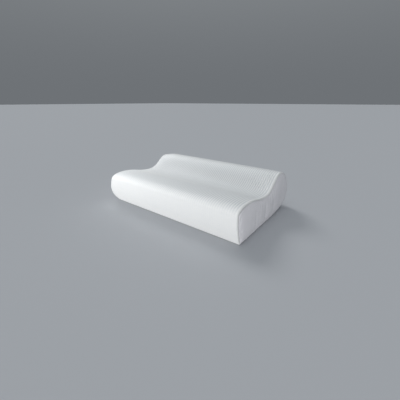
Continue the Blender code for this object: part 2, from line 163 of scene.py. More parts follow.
def knit(name, yarn, gap, wale, course, depth, fuzz, furrow_shade=None):
    """A knitted cloth: pale yarn with painted shade in its gaps, V shaped loops and a soft fibre
    halo.
    """
    material = new_material(name, yarn, KNIT_ROUGHNESS, Sheen_Weight=fuzz,
                            Sheen_Roughness=HALO_SPREAD)
    cut, across, along = cut_place(material)
    folded = add_node(material, "ShaderNodeMath", [across, wale / 2], operation="PINGPONG")
    slanted = add_node(material, "ShaderNodeMath", [folded, LOOP_SLANT, along],
                       operation="MULTIPLY_ADD")
    turns = add_node(material, "ShaderNodeMath", [slanted, 2 * math.pi / course],
                     operation="MULTIPLY")
    loops = add_node(material, "ShaderNodeMath", [turns], operation="SINE")
    halves = add_node(material, "ShaderNodeMath", [folded, 2 * math.pi / wale],
                      operation="MULTIPLY")
    legs = add_node(material, "ShaderNodeMath", [halves], operation="SINE")
    bead = add_node(material, "ShaderNodeMath", [loops, GAP_SHADE, 1 - GAP_SHADE],
                    operation="MULTIPLY_ADD")
    height = add_node(material, "ShaderNodeMath", [legs, bead], operation="MULTIPLY")
    add_node(material, "ShaderNodeBump", {"Height": height, "Distance": depth, "Strength": 1.0},
             feeds="Normal")
    patches = add_node(material, "ShaderNodeTexNoise",
                       {"Vector": cut, "Scale": 1 / PATCH_SIZE, "Detail": NOISE_DETAIL})
    # the colour is partly soft patches of thicker and thinner yarn and partly painted shade,
    # which darkens the low parts of the loops towards the gap colour
    loop_shade = add_node(material, "ShaderNodeMath", [height, 1 - PATCH_SHARE],
                          operation="MULTIPLY")
    full = add_node(material, "ShaderNodeMath", [patches, PATCH_SHARE, loop_shade],
                    operation="MULTIPLY_ADD")
    colour = add_node(material, "ShaderNodeMix",
                      {MIX_FACTOR: full, MIX_FIRST: linear(gap), MIX_SECOND: linear(yarn)}, MIXED,
                      "Base Color", data_type="RGBA")
    if furrow_shade:
        # painted shade: the furrows between the ribs are darkened towards the furrow colour
        tone = add_node(material, "ShaderNodeAttribute", output="Fac", attribute_name="furrow_shade")
        add_node(material, "ShaderNodeMix",
                 {MIX_FACTOR: tone, MIX_FIRST: colour, MIX_SECOND: linear(furrow_shade)}, MIXED,
                 "Base Color", data_type="RGBA")
    fibres = add_node(material, "ShaderNodeTexNoise",
                      {"Vector": cut, "Scale": 1 / FIBRE_SIZE, "Detail": NOISE_DETAIL})
    add_node(material, "ShaderNodeMapRange",
             {"Value": fibres, "To Min": KNIT_ROUGHNESS_LOW, "To Max": KNIT_ROUGHNESS_HIGH},
             feeds="Roughness")
    return material

# %% [markdown]
# The studio is grey low down and pale overhead. A picture of a room could light the scene,
# but a grey that grows with the square of the height keeps the soft light under control.

# %% Sky
LOW_SKY = "6E7276"
OVERHEAD = "D3D8DB"

world = bpy.data.worlds.new("studio")
world.use_nodes = True
bpy.context.scene.world = world
direction = add_node(world, "ShaderNodeTexCoord", output="Generated")
height = add_node(world, "ShaderNodeSeparateXYZ", [direction], "Z")
paleness = add_node(world, "ShaderNodeMath", [height, height], operation="MULTIPLY")
sky = add_node(world, "ShaderNodeValToRGB", [paleness])
for stop, colour in zip(sky.node.color_ramp.elements, (LOW_SKY, OVERHEAD)):
    stop.color = linear(colour)
world.node_tree.links.new(sky, world.node_tree.nodes["Background"].inputs["Color"])
bpy.context.scene.view_settings.view_transform = "Standard"

# %% [markdown]
# A long low lamp stands in front of the pillow, so it lights the front face and is hidden
# from the neck hollow by the low lobe. Two lamps from the left make the top fade towards the
# right, two weak ones on the right lift the shaded end, and a large far light behind the
# left end throws the soft shadow.

# %% Lamps
LAMP_TARGET = Vector((0.0, -0.05, 0.06))
# place, width, height and power of each lamp
LAMPS = {"front_strip": ((-0.42, -0.95, 0.014), 0.45, 0.02, 3.6),
         "left_high": ((-0.55, -0.08, 0.60), 0.40, 0.40, 1.0),
         "left_front": ((-0.42, -0.42, 0.45), 0.30, 0.30, 1.1),
         "right_front": ((0.55, -0.95, 0.04), 0.30, 0.06, 1.5),
         "right_side": ((0.90, -0.60, 0.06), 0.30, 0.10, 0.9)}
# direction, strength and spread of each far light
FAR_LIGHTS = {"left_window": ((-0.68, 0.28, 0.68), 0.74, 24.0)}


def new_light(name, kind, energy, towards):
    """A light whose beam runs against this direction."""
    light = bpy.data.objects.new(name, bpy.data.lights.new(name, kind))
    bpy.context.scene.collection.objects.link(light)
    light.data.energy = energy
    light.rotation_euler = towards.to_track_quat("Z", "Y").to_euler()
    return light


lamps = []
for name, (lamp_place, width, tall, watts) in LAMPS.items():
    lamp = new_light(name, "AREA", watts, Vector(lamp_place) - LAMP_TARGET)
    lamp.data.shape = "RECTANGLE"
    lamp.data.size, lamp.data.size_y = width, tall
    lamp.location = lamp_place
    lamps.append(lamp)
for name, (towards, strength, spread_angle) in FAR_LIGHTS.items():
    new_light(name, "SUN", strength, Vector(towards)).data.angle = math.radians(spread_angle)
print("lamps", len(lamps), "far lights", len(FAR_LIGHTS))

# %% [markdown]
# The pillow lies on a wide roll of matte paper: one large square with a faint tooth. The near
# lamps are flagged off it, as black card would do in a studio, so that it stays an even
# grey. In Blender that is light linking: a collection that the lamps leave out.

# %% Floor
FLOOR_COLOUR = "C8CACE"
FLOOR_SIZE = 60.0
PAPER_ROUGHNESS = 0.95
PAPER_TOOTH = 0.0015
PAPER_TOOTH_DEPTH = 0.00005

floor_mesh = bmesh.new()
bmesh.ops.create_grid(floor_mesh, x_segments=1, y_segments=1, size=FLOOR_SIZE / 2)
floor_data = bpy.data.meshes.new("floor")
floor_mesh.to_mesh(floor_data)
floor_mesh.free()
floor = bpy.data.objects.new("floor", floor_data)
bpy.context.scene.collection.objects.link(floor)
paper = new_material("matte_paper_floor", FLOOR_COLOUR, PAPER_ROUGHNESS)
paper_place = add_node(paper, "ShaderNodeTexCoord", output="Object")
tooth = add_node(paper, "ShaderNodeTexNoise",
                 {"Vector": paper_place, "Scale": 1 / PAPER_TOOTH, "Detail": NOISE_DETAIL})
add_node(paper, "ShaderNodeBump",
         {"Height": tooth, "Distance": PAPER_TOOTH_DEPTH, "Strength": 1.0}, feeds="Normal")
floor.data.materials.append(paper)

flagged = bpy.data.collections.new("flagged_off_near_lamps")
flagged.objects.link(floor)
flagged.collection_objects[0].light_linking.link_state = "EXCLUDE"
for lamp in lamps:
    lamp.light_linking.receiver_collection = flagged
print("floor is %.0f m wide" % FLOOR_SIZE)

# %% [markdown]
# ## The pillow's section
#
# One slice across the pillow gives its whole shape. Its first number runs back from the
# front bottom seam and its second runs up. It is drawn as smooth curves between a few
# points: the front bottom seam (toe), the foremost line (nose), the low lobe's crest, the
# neck hollow (dip), the high lobe's crest, the flat stretch that carries the zip, and the
# place where the underside starts to lift. A cubic curve with level handles at each crest
# keeps the surface smooth where two curves meet.

# %% Sizes of the section
HALF = 0.250
TOE = np.array((0.0, 0.0))
NOSE = np.array((-0.019, 0.084))
FRONT_CREST = np.array((0.026, 0.104))
DIP = np.array((0.150, 0.087))
REAR_CREST = np.array((0.239, 0.132))
REAR_TOP = np.array((0.3156, 0.060))
REAR_LOW = np.array((0.3156, 0.030))
REAR_TOE = np.array((0.200, 0.0))
TOE_LEAN = np.array((-0.39, 0.92)) / math.hypot(0.39, 0.92)
MIDDLE = 0.150107              # section distance that lies at world Y = 0
ZIP_HEIGHT = 0.045
OPENING_HALF = 0.0055          # from the zip's centre line to the edge of the cover
UP = np.array((0.0, 1.0))
BACK = np.array((1.0, 0.0))
CURVE_POINTS = 60
# how far the handles of each curve reach, as a share of its own height or depth
NOSE_HANDLE = 0.33
FRONT_LOBE_HANDLE = 0.60
HOLLOW_HANDLE = 0.47
SLOPE_HANDLE = 0.39
SHOULDER_HANDLE = 0.50
REAR_CORNER_HANDLE = 0.55


def curve(start, start_handle, end_handle, end):
    """Points along a cubic curve, without the last one."""
    t = np.linspace(0.0, 1.0, CURVE_POINTS, endpoint=False)[:, None]
    s = 1 - t
    return s**3 * start + 3 * s * s * t * start_handle + 3 * s * t * t * end_handle + t**3 * end


def straight(start, end):
    """Points along a straight line, without the last one."""
    t = np.linspace(0.0, 1.0, CURVE_POINTS, endpoint=False)[:, None]
    return start + (end - start) * t


def upper_path():
    """From the front bottom seam over both lobes to the zip."""
    rise = NOSE[1] * NOSE_HANDLE
    over = (FRONT_CREST - NOSE) * FRONT_LOBE_HANDLE
    to_dip = (DIP - FRONT_CREST)[0] * HOLLOW_HANDLE
    to_crest = (REAR_CREST - DIP)[0] * SLOPE_HANDLE
    fall = (REAR_TOP - REAR_CREST) * SHOULDER_HANDLE
    edge = np.array((REAR_TOP[0], ZIP_HEIGHT + OPENING_HALF))
    return np.vstack((
        curve(TOE, TOE + TOE_LEAN * rise, NOSE - UP * rise, NOSE),
        curve(NOSE, NOSE + UP * over[1], FRONT_CREST - BACK * over[0], FRONT_CREST),
        curve(FRONT_CREST, FRONT_CREST + BACK * to_dip, DIP - BACK * to_dip, DIP),
        curve(DIP, DIP + BACK * to_crest, REAR_CREST - BACK * to_crest, REAR_CREST),
        curve(REAR_CREST, REAR_CREST + BACK * fall[0], REAR_TOP - UP * fall[1], REAR_TOP),
        straight(REAR_TOP, edge), edge[None]))


def lower_path():
    """From the zip round the rear corner and along the underside to the front bottom seam."""
    edge = np.array((REAR_LOW[0], ZIP_HEIGHT - OPENING_HALF))
    drop = UP * REAR_LOW[1] * REAR_CORNER_HANDLE
    reach = (REAR_LOW - REAR_TOE)[0] * REAR_CORNER_HANDLE
    return np.vstack((
        straight(edge, REAR_LOW),
        curve(REAR_LOW, REAR_LOW - drop, REAR_TOE + BACK * reach, REAR_TOE),
        straight(REAR_TOE, TOE), TOE[None]))

# %% [markdown]
# Cloth is measured along its surface, not across it. So each path is read by the distance
# along it, and a point is raised or sunk along the path's own outward direction.

# %% Measuring along the section
OUTWARD_WINDOW = 0.0015


def closed(loop):
    """A loop of points with its first point again at the end."""
    return np.vstack((loop, loop[:1]))


def lengths(path):
    """Distance along a path at each of its points."""
    steps = np.linalg.norm(np.diff(path, axis=0), axis=1)
    return np.concatenate(((0.0,), np.cumsum(steps)))


def at(path, distance):
    """Places on a path at these distances along it."""
    run = lengths(path)
    return np.stack([np.interp(distance, run, path[:, k]) for k in range(path.shape[1])], axis=-1)


def outward(path, distance):
    """Outward directions of a section path, each averaged over a short stretch."""
    run = lengths(path)[-1]
    ahead = at(path, np.minimum(distance + OUTWARD_WINDOW, run))
    behind = at(path, np.maximum(distance - OUTWARD_WINDOW, 0.0))
    along = ahead - behind
    along /= np.linalg.norm(along, axis=-1, keepdims=True)
    return np.stack((-along[..., 1], along[..., 0]), axis=-1)


MAIN_PATH = upper_path()
BASE_PATH = lower_path()
MAIN_RUN = lengths(MAIN_PATH)[-1]
BASE_RUN = lengths(BASE_PATH)[-1]
print("ribbed panel is cut %.3f m long, base panel %.3f m" % (MAIN_RUN, BASE_RUN))

# %% [markdown]
# ## How the cover settles
#
# A sewn cover never follows its block exactly. The left end is fuller: low down it stands
# out past the bottom seam, and its top is pulled down and inwards a little. This one function
# moves any point of the cover from the straight section to where the cloth really lies.

# %% Settling
FULL_END_REACH = 0.0195        # how far the left end stands out low down
FULL_END_RUN = 0.080           # how far from the end that starts
FULL_END_DROP = (0.0035, 0.0065)   # how far its top is pulled down, at the front and the rear
FULL_END_PULL = (0.0050, 0.0085)   # and how far it is pulled inwards
FRONT_TO_REAR = (0.050, 0.150)     # where along the section front becomes rear, over this run
RIGHT_END_DROP = 0.0010
BELLY_HEIGHT = 0.032           # where the belly is fullest
BELLY_SPREAD = 0.033
BELLY_START = 0.016            # it grows from nothing at the bottom seam over this height
REAR_FADE = (0.300, 0.060)     # the belly is gone at this distance back, over this run
PULL_FROM = (0.060, 0.045)     # the pull and the drop start at this height, over this run


def smooth(t):
    """From 0 to 1 as t goes from 0 to 1, level at both ends."""
    t = np.clip(t, 0.0, 1.0)
    return t * t * (3 - 2 * t)


def grown(distance, start_and_run):
    """0 up to the start and 1 past the run, smooth between."""
    return smooth((distance - start_and_run[0]) / start_and_run[1])


def settle(points):
    """Moves cover points to where the cloth lies. Points are rows of X, section, height."""
    x, back, up = points.T
    moved = points.copy()
    near_left = smooth((-x - HALF + FULL_END_RUN) / FULL_END_RUN)
    near_right = smooth((x - HALF + FULL_END_RUN) / FULL_END_RUN)
    belly = np.exp(-((up - BELLY_HEIGHT) / BELLY_SPREAD) ** 2) * smooth(up / BELLY_START)
    belly *= smooth((REAR_FADE[0] - back) / REAR_FADE[1])
    high = grown(up, PULL_FROM)
    rear = grown(back, FRONT_TO_REAR)
    pull = FULL_END_PULL[0] + (FULL_END_PULL[1] - FULL_END_PULL[0]) * rear
    drop = FULL_END_DROP[0] + (FULL_END_DROP[1] - FULL_END_DROP[0]) * rear
    moved[:, 0] += near_left**2 * (pull * high - FULL_END_REACH * belly)
    moved[:, 2] -= (drop * near_left**2 + RIGHT_END_DROP * near_right**2) * high
    return moved


def as_cut(points):
    """Leaves points on the straight section."""
    return points


def world_points(points):
    """Rows of X, section distance and height become world coordinates."""
    return points - np.array((0.0, MIDDLE, 0.0))


low_left = settle(np.array(((-HALF, 0.0, BELLY_HEIGHT),)))[0]
print("the left end stands out %.1f mm low down" % (1000 * (-HALF - low_left[0])))

# %% [markdown]
# ## Sheets made from grids
#
# Each cloth panel starts as a flat grid, the way a panel is cut, and is then laid on the
# pillow. The grid keeps the flat position as its texture coordinate, so the knit always
# runs straight along the cloth. A Solidify modifier then gives the cloth its thickness,
# inwards, so that the outer face stays where it was laid.

# %% Grids and finished pieces
WELD = 0.000005                # points closer than this are one


def keep(name, bm, material, body="pillow"):
    """A finished mesh object that rides on a CAD body and takes its finish from a slot."""
    data = bpy.data.meshes.new(name)
    bm.to_mesh(data)
    bm.free()
    data.materials.append(material)
    data.shade_smooth()
    piece = bpy.data.objects.new(name, data)
    bpy.context.scene.collection.objects.link(piece)
    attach(piece, body)
    return piece


def laid_grid(bm, columns, rows, place):
    """A grid of columns by rows points, laid where place says. Gives each point's column
    and row."""
    bmesh.ops.create_grid(bm, x_segments=columns - 1, y_segments=rows - 1, size=0.5)
    ordered = np.array([vert.co[:2] for vert in bm.verts]) + 0.5
    column, row = np.rint(ordered * (columns - 1, rows - 1)).astype(int).T
    for vert, point in zip(bm.verts, place(column, row)):
        vert.co = point
    return column, row


def grid_sheet(name, columns, rows, place, flat, material, thickness, flip=False,
               weld=False, tone=None):
    """A sheet of columns by rows points. place and flat give each point's place and cut,
    and tone gives each point's amount of painted shade between the ribs."""
    bm = bmesh.new()
    column, row = laid_grid(bm, columns, rows, place)
    if tone:
        # how much painted shade each point gets between the ribs
        shade = bm.verts.layers.float.new("furrow_shade")
        for vert, value in zip(bm.verts, tone(column, row)):
            vert[shade] = value
    layer = bm.loops.layers.uv.new("cut")
    cut = flat(column, row)
    for face in bm.faces:
        for loop in face.loops:
            loop[layer].uv = cut[loop.vert.index]
    if weld:
        bmesh.ops.remove_doubles(bm, verts=bm.verts, dist=WELD)
    if flip:
        bmesh.ops.reverse_faces(bm, faces=bm.faces)
    piece = keep(name, bm, material)
    cloth = piece.modifiers.new("cloth_thickness", "SOLIDIFY")
    cloth.thickness = thickness
    cloth.offset = -1
    return piece

# %% [markdown]
# A sewn edge does not stop square: the cloth rolls down into the seam over a few
# millimetres. Points crowd together there, in a quarter turn, and stand wide apart on the
# flat cloth between.

# %% Rolled edges
def lip(run, drop, steps):
    """Distances from an edge and depths below the surface of a quarter turn into a seam."""
    angle = np.linspace(math.pi / 2, 0.0, steps, endpoint=False)
    return run * (1 - np.sin(angle)), drop * (1 - np.cos(angle))


def spread(length, step, first, last, fine_run=0.0, fine_step=1.0):
    """Distances across a panel with a lip at each end, and the depth at each of them.
    The last fine_run of the distance may have closer steps."""
    start, start_depth = lip(*first)
    end, end_depth = lip(*last)
    turn = length - last[0] - fine_run
    coarse = np.linspace(first[0], turn, round((turn - first[0]) / step) + 1)
    fine = np.linspace(turn, length - last[0], round(fine_run / fine_step) + 1)[1:]
    middle = np.concatenate((coarse, fine))
    distance = np.concatenate((start, middle, (length - end)[::-1]))
    depth = np.concatenate((start_depth, np.zeros(len(middle)), end_depth[::-1]))
    return distance, depth

# %% [markdown]
# ## The ribbed main panel
#
# The ribs are knitted in: rows of raised cloth that run from front to back, about 7 mm
# apart. They could be painted on with a bump, but their outline shows at the crests, so
# they are real relief in the mesh, five columns of points to each rib.

# %% Sizes of the panels
SEAM_LIP = (0.0044, 0.0034, 6)       # run, drop and steps of a rolled seam edge
TOE_LIP = (0.0040, 0.0016, 5)
HEM_LIP = (0.0012, 0.0010, 4)
SEAM_X = HALF - 0.0028
RIB_PITCH = 0.0069
RIB_COLUMNS = 5
RIB_RELIEF = 0.0009
ROW_STEP = 0.0048
COVER_CLOTH = 0.0012
TOE_INWARDS = np.array((0.552, 0.834))   # halfway between the two panels at the front seam
HEM_RUN = 0.012                      # the last stretch before the zip, drawn more finely
HEM_STEP = 0.0008
STITCH_INSET = 0.0025                # topstitching, from the folded edge at the zip
STITCH_SINK = 0.00035                # how far the stitching pulls the cloth in
STITCH_SPREAD = 0.0013

COLUMN, COLUMN_DEPTH = spread(2 * SEAM_X, RIB_PITCH / RIB_COLUMNS, SEAM_LIP, SEAM_LIP)
COLUMN_X = COLUMN - SEAM_X
MAIN_ROW, MAIN_DEPTH = spread(MAIN_RUN, ROW_STEP, TOE_LIP, HEM_LIP, HEM_RUN, HEM_STEP)
UNDER_ROW, UNDER_DEPTH = spread(BASE_RUN, ROW_STEP, TOE_LIP, HEM_LIP, HEM_RUN, HEM_STEP)
BASE_ROW, BASE_DEPTH = (BASE_RUN - UNDER_ROW)[::-1], UNDER_DEPTH[::-1]
print("main panel grid", len(COLUMN_X), "x", len(MAIN_ROW), "base", len(BASE_ROW), "rows")

# %% [markdown]
# On the pillow the ribs are full over the lobes and the hollow. They flatten where the
# cloth is held by a seam, and on the front face, where it is stretched tightest.

# %% Relief of the cloth
# where the ribs start, measured from each edge, and over what distance they grow
RIBS_FROM_SIDE = (0.003, 0.006)
RIBS_FROM_TOE = (0.010, 0.030)
RIBS_FROM_ZIP = (0.012, 0.015)
RIBS_UP_FRONT = (0.080, 0.050)
FLAT_RIB_SHARE = 0.06          # what is left of them on the front face
FURROW_PINCH = 0.25            # above 0 the furrows are narrower than the ribs
SHADE_PINCH = 1.5              # above 1 the painted shade keeps to the bottom of the furrows


def stitch_groove(from_hem):
    """Depth of the furrow that the topstitching pulls into the cloth."""
    return STITCH_SINK * np.exp(-((from_hem - STITCH_INSET) / STITCH_SPREAD) ** 2)


def rib_strength(x, distance):
    """From 1 to 0: the ribs fade out at the seams and down the front face."""
    side = grown(SEAM_X - np.abs(x), RIBS_FROM_SIDE)
    front = FLAT_RIB_SHARE + (1 - FLAT_RIB_SHARE) * grown(distance, RIBS_UP_FRONT)
    toe = grown(distance, RIBS_FROM_TOE)
    back = grown(MAIN_RUN - distance, RIBS_FROM_ZIP)
    return side * front * toe * back


def ribs(x, distance):
    """Height of the knitted ribs: round on top, with narrower furrows between them."""
    wave = np.cos(2 * math.pi * x / RIB_PITCH)
    shape = (wave + FURROW_PINCH * (1 - (1 - wave) ** 2)) / 2
    return RIB_RELIEF * shape * rib_strength(x, distance)


def painted_furrow_shade(column, row):
    """Painted shade: 1 in the bottom of a furrow between two ribs, 0 on the ribs and where there
    are none.
    """
    x, distance = COLUMN_X[column], MAIN_ROW[row]
    low = 0.5 - 0.5 * np.cos(2 * math.pi * x / RIB_PITCH)
    return rib_strength(x, distance) * low ** SHADE_PINCH

# %% [markdown]
# The two long panels are laid the same way: a point's column gives its place along the
# pillow, and its row gives the distance along the section. The base panel has no ribs.

# %% Laying the panels
def sunk(path, distance, from_toe, height):
    """Section places raised above the path, or sunk into the corner at the front seam."""
    out = outward(path, distance)
    share_in = smooth(1 - from_toe / TOE_LIP[0])[:, None]
    out = out * (1 - share_in) - TOE_INWARDS * share_in
    out /= np.linalg.norm(out, axis=1, keepdims=True)
    return at(path, distance) + out * height[:, None]


def main_place(column, row, lie=settle):
    x = COLUMN_X[column]
    distance = MAIN_ROW[row]
    depth = np.maximum(COLUMN_DEPTH[column], MAIN_DEPTH[row]) + stitch_groove(MAIN_RUN - distance)
    point = sunk(MAIN_PATH, distance, distance, ribs(x, distance) - depth)
    return world_points(lie(np.column_stack((x, point))))


def base_place(column, row, lie=settle):
    x = COLUMN_X[column]
    distance = BASE_ROW[row]
    depth = np.maximum(COLUMN_DEPTH[column], BASE_DEPTH[row]) + stitch_groove(distance)
    point = sunk(BASE_PATH, distance, BASE_RUN - distance, -depth)
    return world_points(lie(np.column_stack((x, point))))

# %% [markdown]
# The cover's yarn is bleached cotton: matte and chalky, with a halo of fine fibres that
# glows a little at grazing angles. Real loops are about 1 mm apart, and are drawn so.

# %% Cover cloth
YARN = "F8F8F6"
# the gap colours are painted shade in the gaps between the loops
YARN_GAP_SHADE = "ECEDED"
# the furrow colour is painted shade between the ribs
FURROW_SHADE_COLOUR = "D6DADD"
# the plain knit's colours are the cover's yarn painted a little greyer and more purple as shade
PLAIN_YARN_SHADED = "F4F2F5"
PLAIN_GAP_SHADE = "E6E4E8"
LOOPS_PER_RIB = 5
WALE = RIB_PITCH / LOOPS_PER_RIB
COURSE = 0.0011
LOOP_DEPTH = 0.00016
RIBBED_HALO = 0.20
PLAIN_HALO = 0.25

# chalky white loops, with soft grey painted shade in the furrows between the ribs
ribbed_knit = knit("white_ribbed_cotton_knit", YARN, YARN_GAP_SHADE, WALE, COURSE, LOOP_DEPTH,
                   RIBBED_HALO, FURROW_SHADE_COLOUR)
# the same yarn knitted flat, with its colours painted a little greyer and more purple as shade
plain_knit = knit("white_plain_cotton_knit", PLAIN_YARN_SHADED, PLAIN_GAP_SHADE, WALE, COURSE, LOOP_DEPTH,
                  PLAIN_HALO)
print("a loop is %.2f mm wide and %.2f mm high" % (1000 * WALE, 1000 * COURSE))

# %% Main panel and base panel
main_panel = grid_sheet(
    "cover_ribbed_panel", len(COLUMN_X), len(MAIN_ROW), main_place,
    lambda column, row: np.column_stack((COLUMN_X[column], MAIN_ROW[row])),
    ribbed_knit, COVER_CLOTH, tone=painted_furrow_shade)
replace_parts(main_panel, "cover_main_panel")

base_panel = grid_sheet(
    "cover_underside_panel", len(COLUMN_X), len(BASE_ROW), base_place,
    lambda column, row: np.column_stack((COLUMN_X[column], BASE_ROW[row])),
    plain_knit, COVER_CLOTH)
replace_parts(base_panel, "cover_base_panel")
print("main panel", len(main_panel.data.polygons), "base", len(base_panel.data.polygons))

# %% [markdown]
# ## The end panels
#
# Each end is one flat piece cut to the section and sewn all round, so its edge is exactly
# the edge of the other two panels. A fan of triangles would fill that edge too, but it could
# not fold; a grid stretched between its front, top, back and underside can.

# %% The edge of an end panel
NOSE_CORNER = 0.105            # distance along the main panel where the front side ends
REAR_CORNER = 0.395            # and where the rear side starts
UNDER_CORNER = 0.050           # distance along the base panel where the rear side ends
SIDE_NAMES = {-1: "left", 1: "right"}
RIM_BAND = 0.0045              # the band along the edge where the points crowd together
RIM_STEPS = 8
RIM_CROWDING = 1.6


def last_column(side, columns):
    """The column of a grid that lies at one end of the pillow."""
    return len(columns) - 1 if side > 0 else 0


def edge_loop(side, lie=settle):
    """World places of the main and base panels' edges at one end, from the toe round."""
    column = last_column(side, COLUMN_X)
    main = main_place(np.full(len(MAIN_ROW), column), np.arange(len(MAIN_ROW)), lie)
    base = base_place(np.full(len(BASE_ROW), column), np.arange(len(BASE_ROW)), lie)
    return np.vstack((main, base))


def fine_ends(length, step):
    """Shares from 0 to 1, close together at both ends."""
    near = RIM_BAND * (np.arange(RIM_STEPS) / RIM_STEPS) ** RIM_CROWDING
    count = round((length - 2 * RIM_BAND) / step)
    middle = np.linspace(RIM_BAND, length - RIM_BAND, count + 1)
    return np.concatenate((near, middle, (length - near)[::-1])) / length


def share(path, shares):
    """Places at these shares of a path's whole length."""
    return at(path, shares * lengths(path)[-1])


def nearest(points, loop, batch=2000):
    """Distance of each point from a closed loop, both as rows of section and height."""
    gap = np.empty(len(points))
    for start in range(0, len(points), batch):
        part = points[start:start + batch, None] - loop[None]
        gap[start:start + batch] = np.sqrt((part ** 2).sum(-1).min(-1))
    return gap


def corner_rows(loop):
    """Where along the loop the front, top and rear sides end."""
    run = lengths(loop)
    whole = run[-1]
    stops = (NOSE_CORNER, REAR_CORNER, MAIN_RUN + 2 * OPENING_HALF + UNDER_CORNER)
    full = MAIN_RUN + 2 * OPENING_HALF + BASE_RUN
    return [int(np.searchsorted(run, stop / full * whole)) for stop in stops]


print("an end panel's edge is %.3f m round" % lengths(closed(edge_loop(1)))[-1])

# %% [markdown]
# Each point of the grid is a blend of the four sides, the way a soap film spans a frame. It
# then rises from the seam in a quick roll and a slow bulge, because the foam fills it.

# %% Filling an end
END_STEP = 0.0022
END_LIP_RUN = 0.0036
END_BULGE = {-1: 0.0020, 1: 0.0030}
END_BULGE_RUN = 0.035
RIM_POINTS = 1400              # the edge is drawn this finely to measure distances from it


def filled_end(side, name, loop, step, roll_reach, bulge_reach, material, slot, thickness):
    """A sheet stretched across a closed loop of world points that starts at the toe. The
    loop is still straight; the whole sheet then settles as the cover does."""
    first, second, third = corner_rows(loop)
    front, top = loop[:first + 1], loop[first:second + 1]
    rear, bottom = loop[second:third + 1][::-1], loop[third:][::-1]
    across = fine_ends(lengths(top)[-1], step)
    up = fine_ends(lengths(rear)[-1], step)
    rim = share(closed(loop)[:, 1:], np.linspace(0, 1, RIM_POINTS))

    def place(column, row):
        u, v = across[column], up[row]
        low, high, near, far = share(bottom, u), share(top, u), share(front, v), share(rear, v)
        u, v = u[:, None], v[:, None]
        corners = ((1 - u) * (1 - v) * bottom[0] + u * (1 - v) * bottom[-1]
                   + (1 - u) * v * top[0] + u * v * top[-1])
        point = (1 - v) * low + v * high + (1 - u) * near + u * far - corners
        gap = nearest(point[:, 1:], rim)
        roll = np.sqrt(1 - (1 - np.clip(gap / END_LIP_RUN, 0, 1)) ** 2)
        bulge = 1 - (1 - np.clip(gap / END_BULGE_RUN, 0, 1)) ** 2
        lift = roll_reach * roll + bulge_reach * bulge
        if slot == "plain_knit":
            lift += end_folds(side, point, gap)
        settled = world_points(settle(point + np.array((0.0, MIDDLE, 0.0))))
        settled[:, 0] += side * lift
        return settled

    def flat(column, row):
        return place(column, row)[:, 1:]

    return grid_sheet(name, len(across), len(up), place, flat, material, thickness,
                      flip=side < 0)

# %% [markdown]
# The end cloth hangs a little loose, so it falls in soft upright folds. Where the seam
# turns through the neck hollow the spare cloth gathers into small puckers.

# %% Folds of the end panels
FOLD_HEIGHT = 0.0014
# each fold's world Y, width and weight; a negative weight is a furrow
FOLDS = ((-0.118, 0.010, 0.6), (-0.082, 0.007, -0.7), (-0.052, 0.009, 0.9), (-0.018, 0.006, -0.8),
         (0.004, 0.008, 1.0), (0.036, 0.007, -0.7), (0.062, 0.010, 0.8), (0.098, 0.008, -0.6))
FOLD_SHIFT = 0.004             # forward on the left end, back on the right
FOLD_LEVEL = 0.050             # the height at which a fold lies at its own place
FOLD_LEAN = 0.10
FOLD_RUN = (0.0, 0.020)        # the folds start at the seam and grow over this distance
FOLD_TOP = 0.095               # they are weakest from this height up
FOLD_FADE = 0.060
FOLD_TOP_SHARE = 0.35
PUCKER_HEIGHT = 0.0012
PUCKER_PITCH = 0.0100
PUCKER_RUN = 0.013
PUCKER_MIDDLE = -0.010         # world Y of the neck hollow
PUCKER_REACH = 0.060
PUCKER_LINE = 0.004            # they are highest at this distance from the seam
PUCKER_EDGE = (0.0, 0.0015)
PUCKER_FROM = (0.040, 0.030)   # they start at this height, over this run
PUCKER_SHARE = 0.25            # how strong they are away from the hollow
PUCKER_DRIFT = 2.1             # how unevenly they are spaced, and how often that changes
PUCKER_DRIFT_TURNS = 90


def end_folds(side, point, gap):
    """Outward movement of an end panel's cloth from its folds and puckers."""
    y, z = point[:, 1], point[:, 2]
    lift = np.zeros(len(point))
    for middle, width, weight in FOLDS:
        lean = middle + side * FOLD_SHIFT + FOLD_LEAN * (z - FOLD_LEVEL) * weight
        lift += weight * np.exp(-((y - lean) / width) ** 2)
    low = FOLD_TOP_SHARE + (1 - FOLD_TOP_SHARE) * smooth((FOLD_TOP - z) / FOLD_FADE)
    lift *= FOLD_HEIGHT * grown(gap, FOLD_RUN) * low
    near = np.exp(-((gap - PUCKER_LINE) / PUCKER_RUN) ** 2) * grown(gap, PUCKER_EDGE)
    hollow = np.exp(-((y - PUCKER_MIDDLE) / PUCKER_REACH) ** 2) * grown(z, PUCKER_FROM)
    drift = PUCKER_DRIFT * np.sin(PUCKER_DRIFT_TURNS * y + side)
    wave = np.sin(2 * math.pi * y / PUCKER_PITCH + drift)
    return lift + PUCKER_HEIGHT * near * (PUCKER_SHARE + (1 - PUCKER_SHARE) * hollow) * wave


print("end panels have", len(FOLDS), "folds and furrows")

# %% [markdown]
# A cloth simulation gives the loose end panels their real, uneven hang. Each panel is held
# along its seam, is cut a little too large, and is pressed outwards from inside by the foam.
# How far any point may move is capped, and the cap falls to nothing at the seam, so the
# cloth keeps clear of the liner and stays sewn. The movement is then written into the
# panel's own mesh.

# %% Letting the end cloth hang
HANG_FRAMES = 20
HANG_PRESSURE = 4.0
HANG_SPARE = 0.02              # spare cloth, as a share of its size
HANG_CAP = 0.0022
HANG_FREE_RUN = 0.006          # the cap falls to nothing over this distance from the seam
TINY = 1e-12                   # keeps a division by a length from failing at nothing


def points_of(mesh):
    """A mesh's points as rows of numbers."""
    places = np.empty(len(mesh.vertices) * 3)
    mesh.vertices.foreach_get("co", places)
    return places.reshape(-1, 3)


def boundary_edges(mesh):
    """The vertex pairs of edges that only one face uses."""
    uses = {}
    for face in mesh.polygons:
        for key in face.edge_keys:
            uses[key] = uses.get(key, 0) + 1
    return [key for key, count in uses.items() if count == 1]


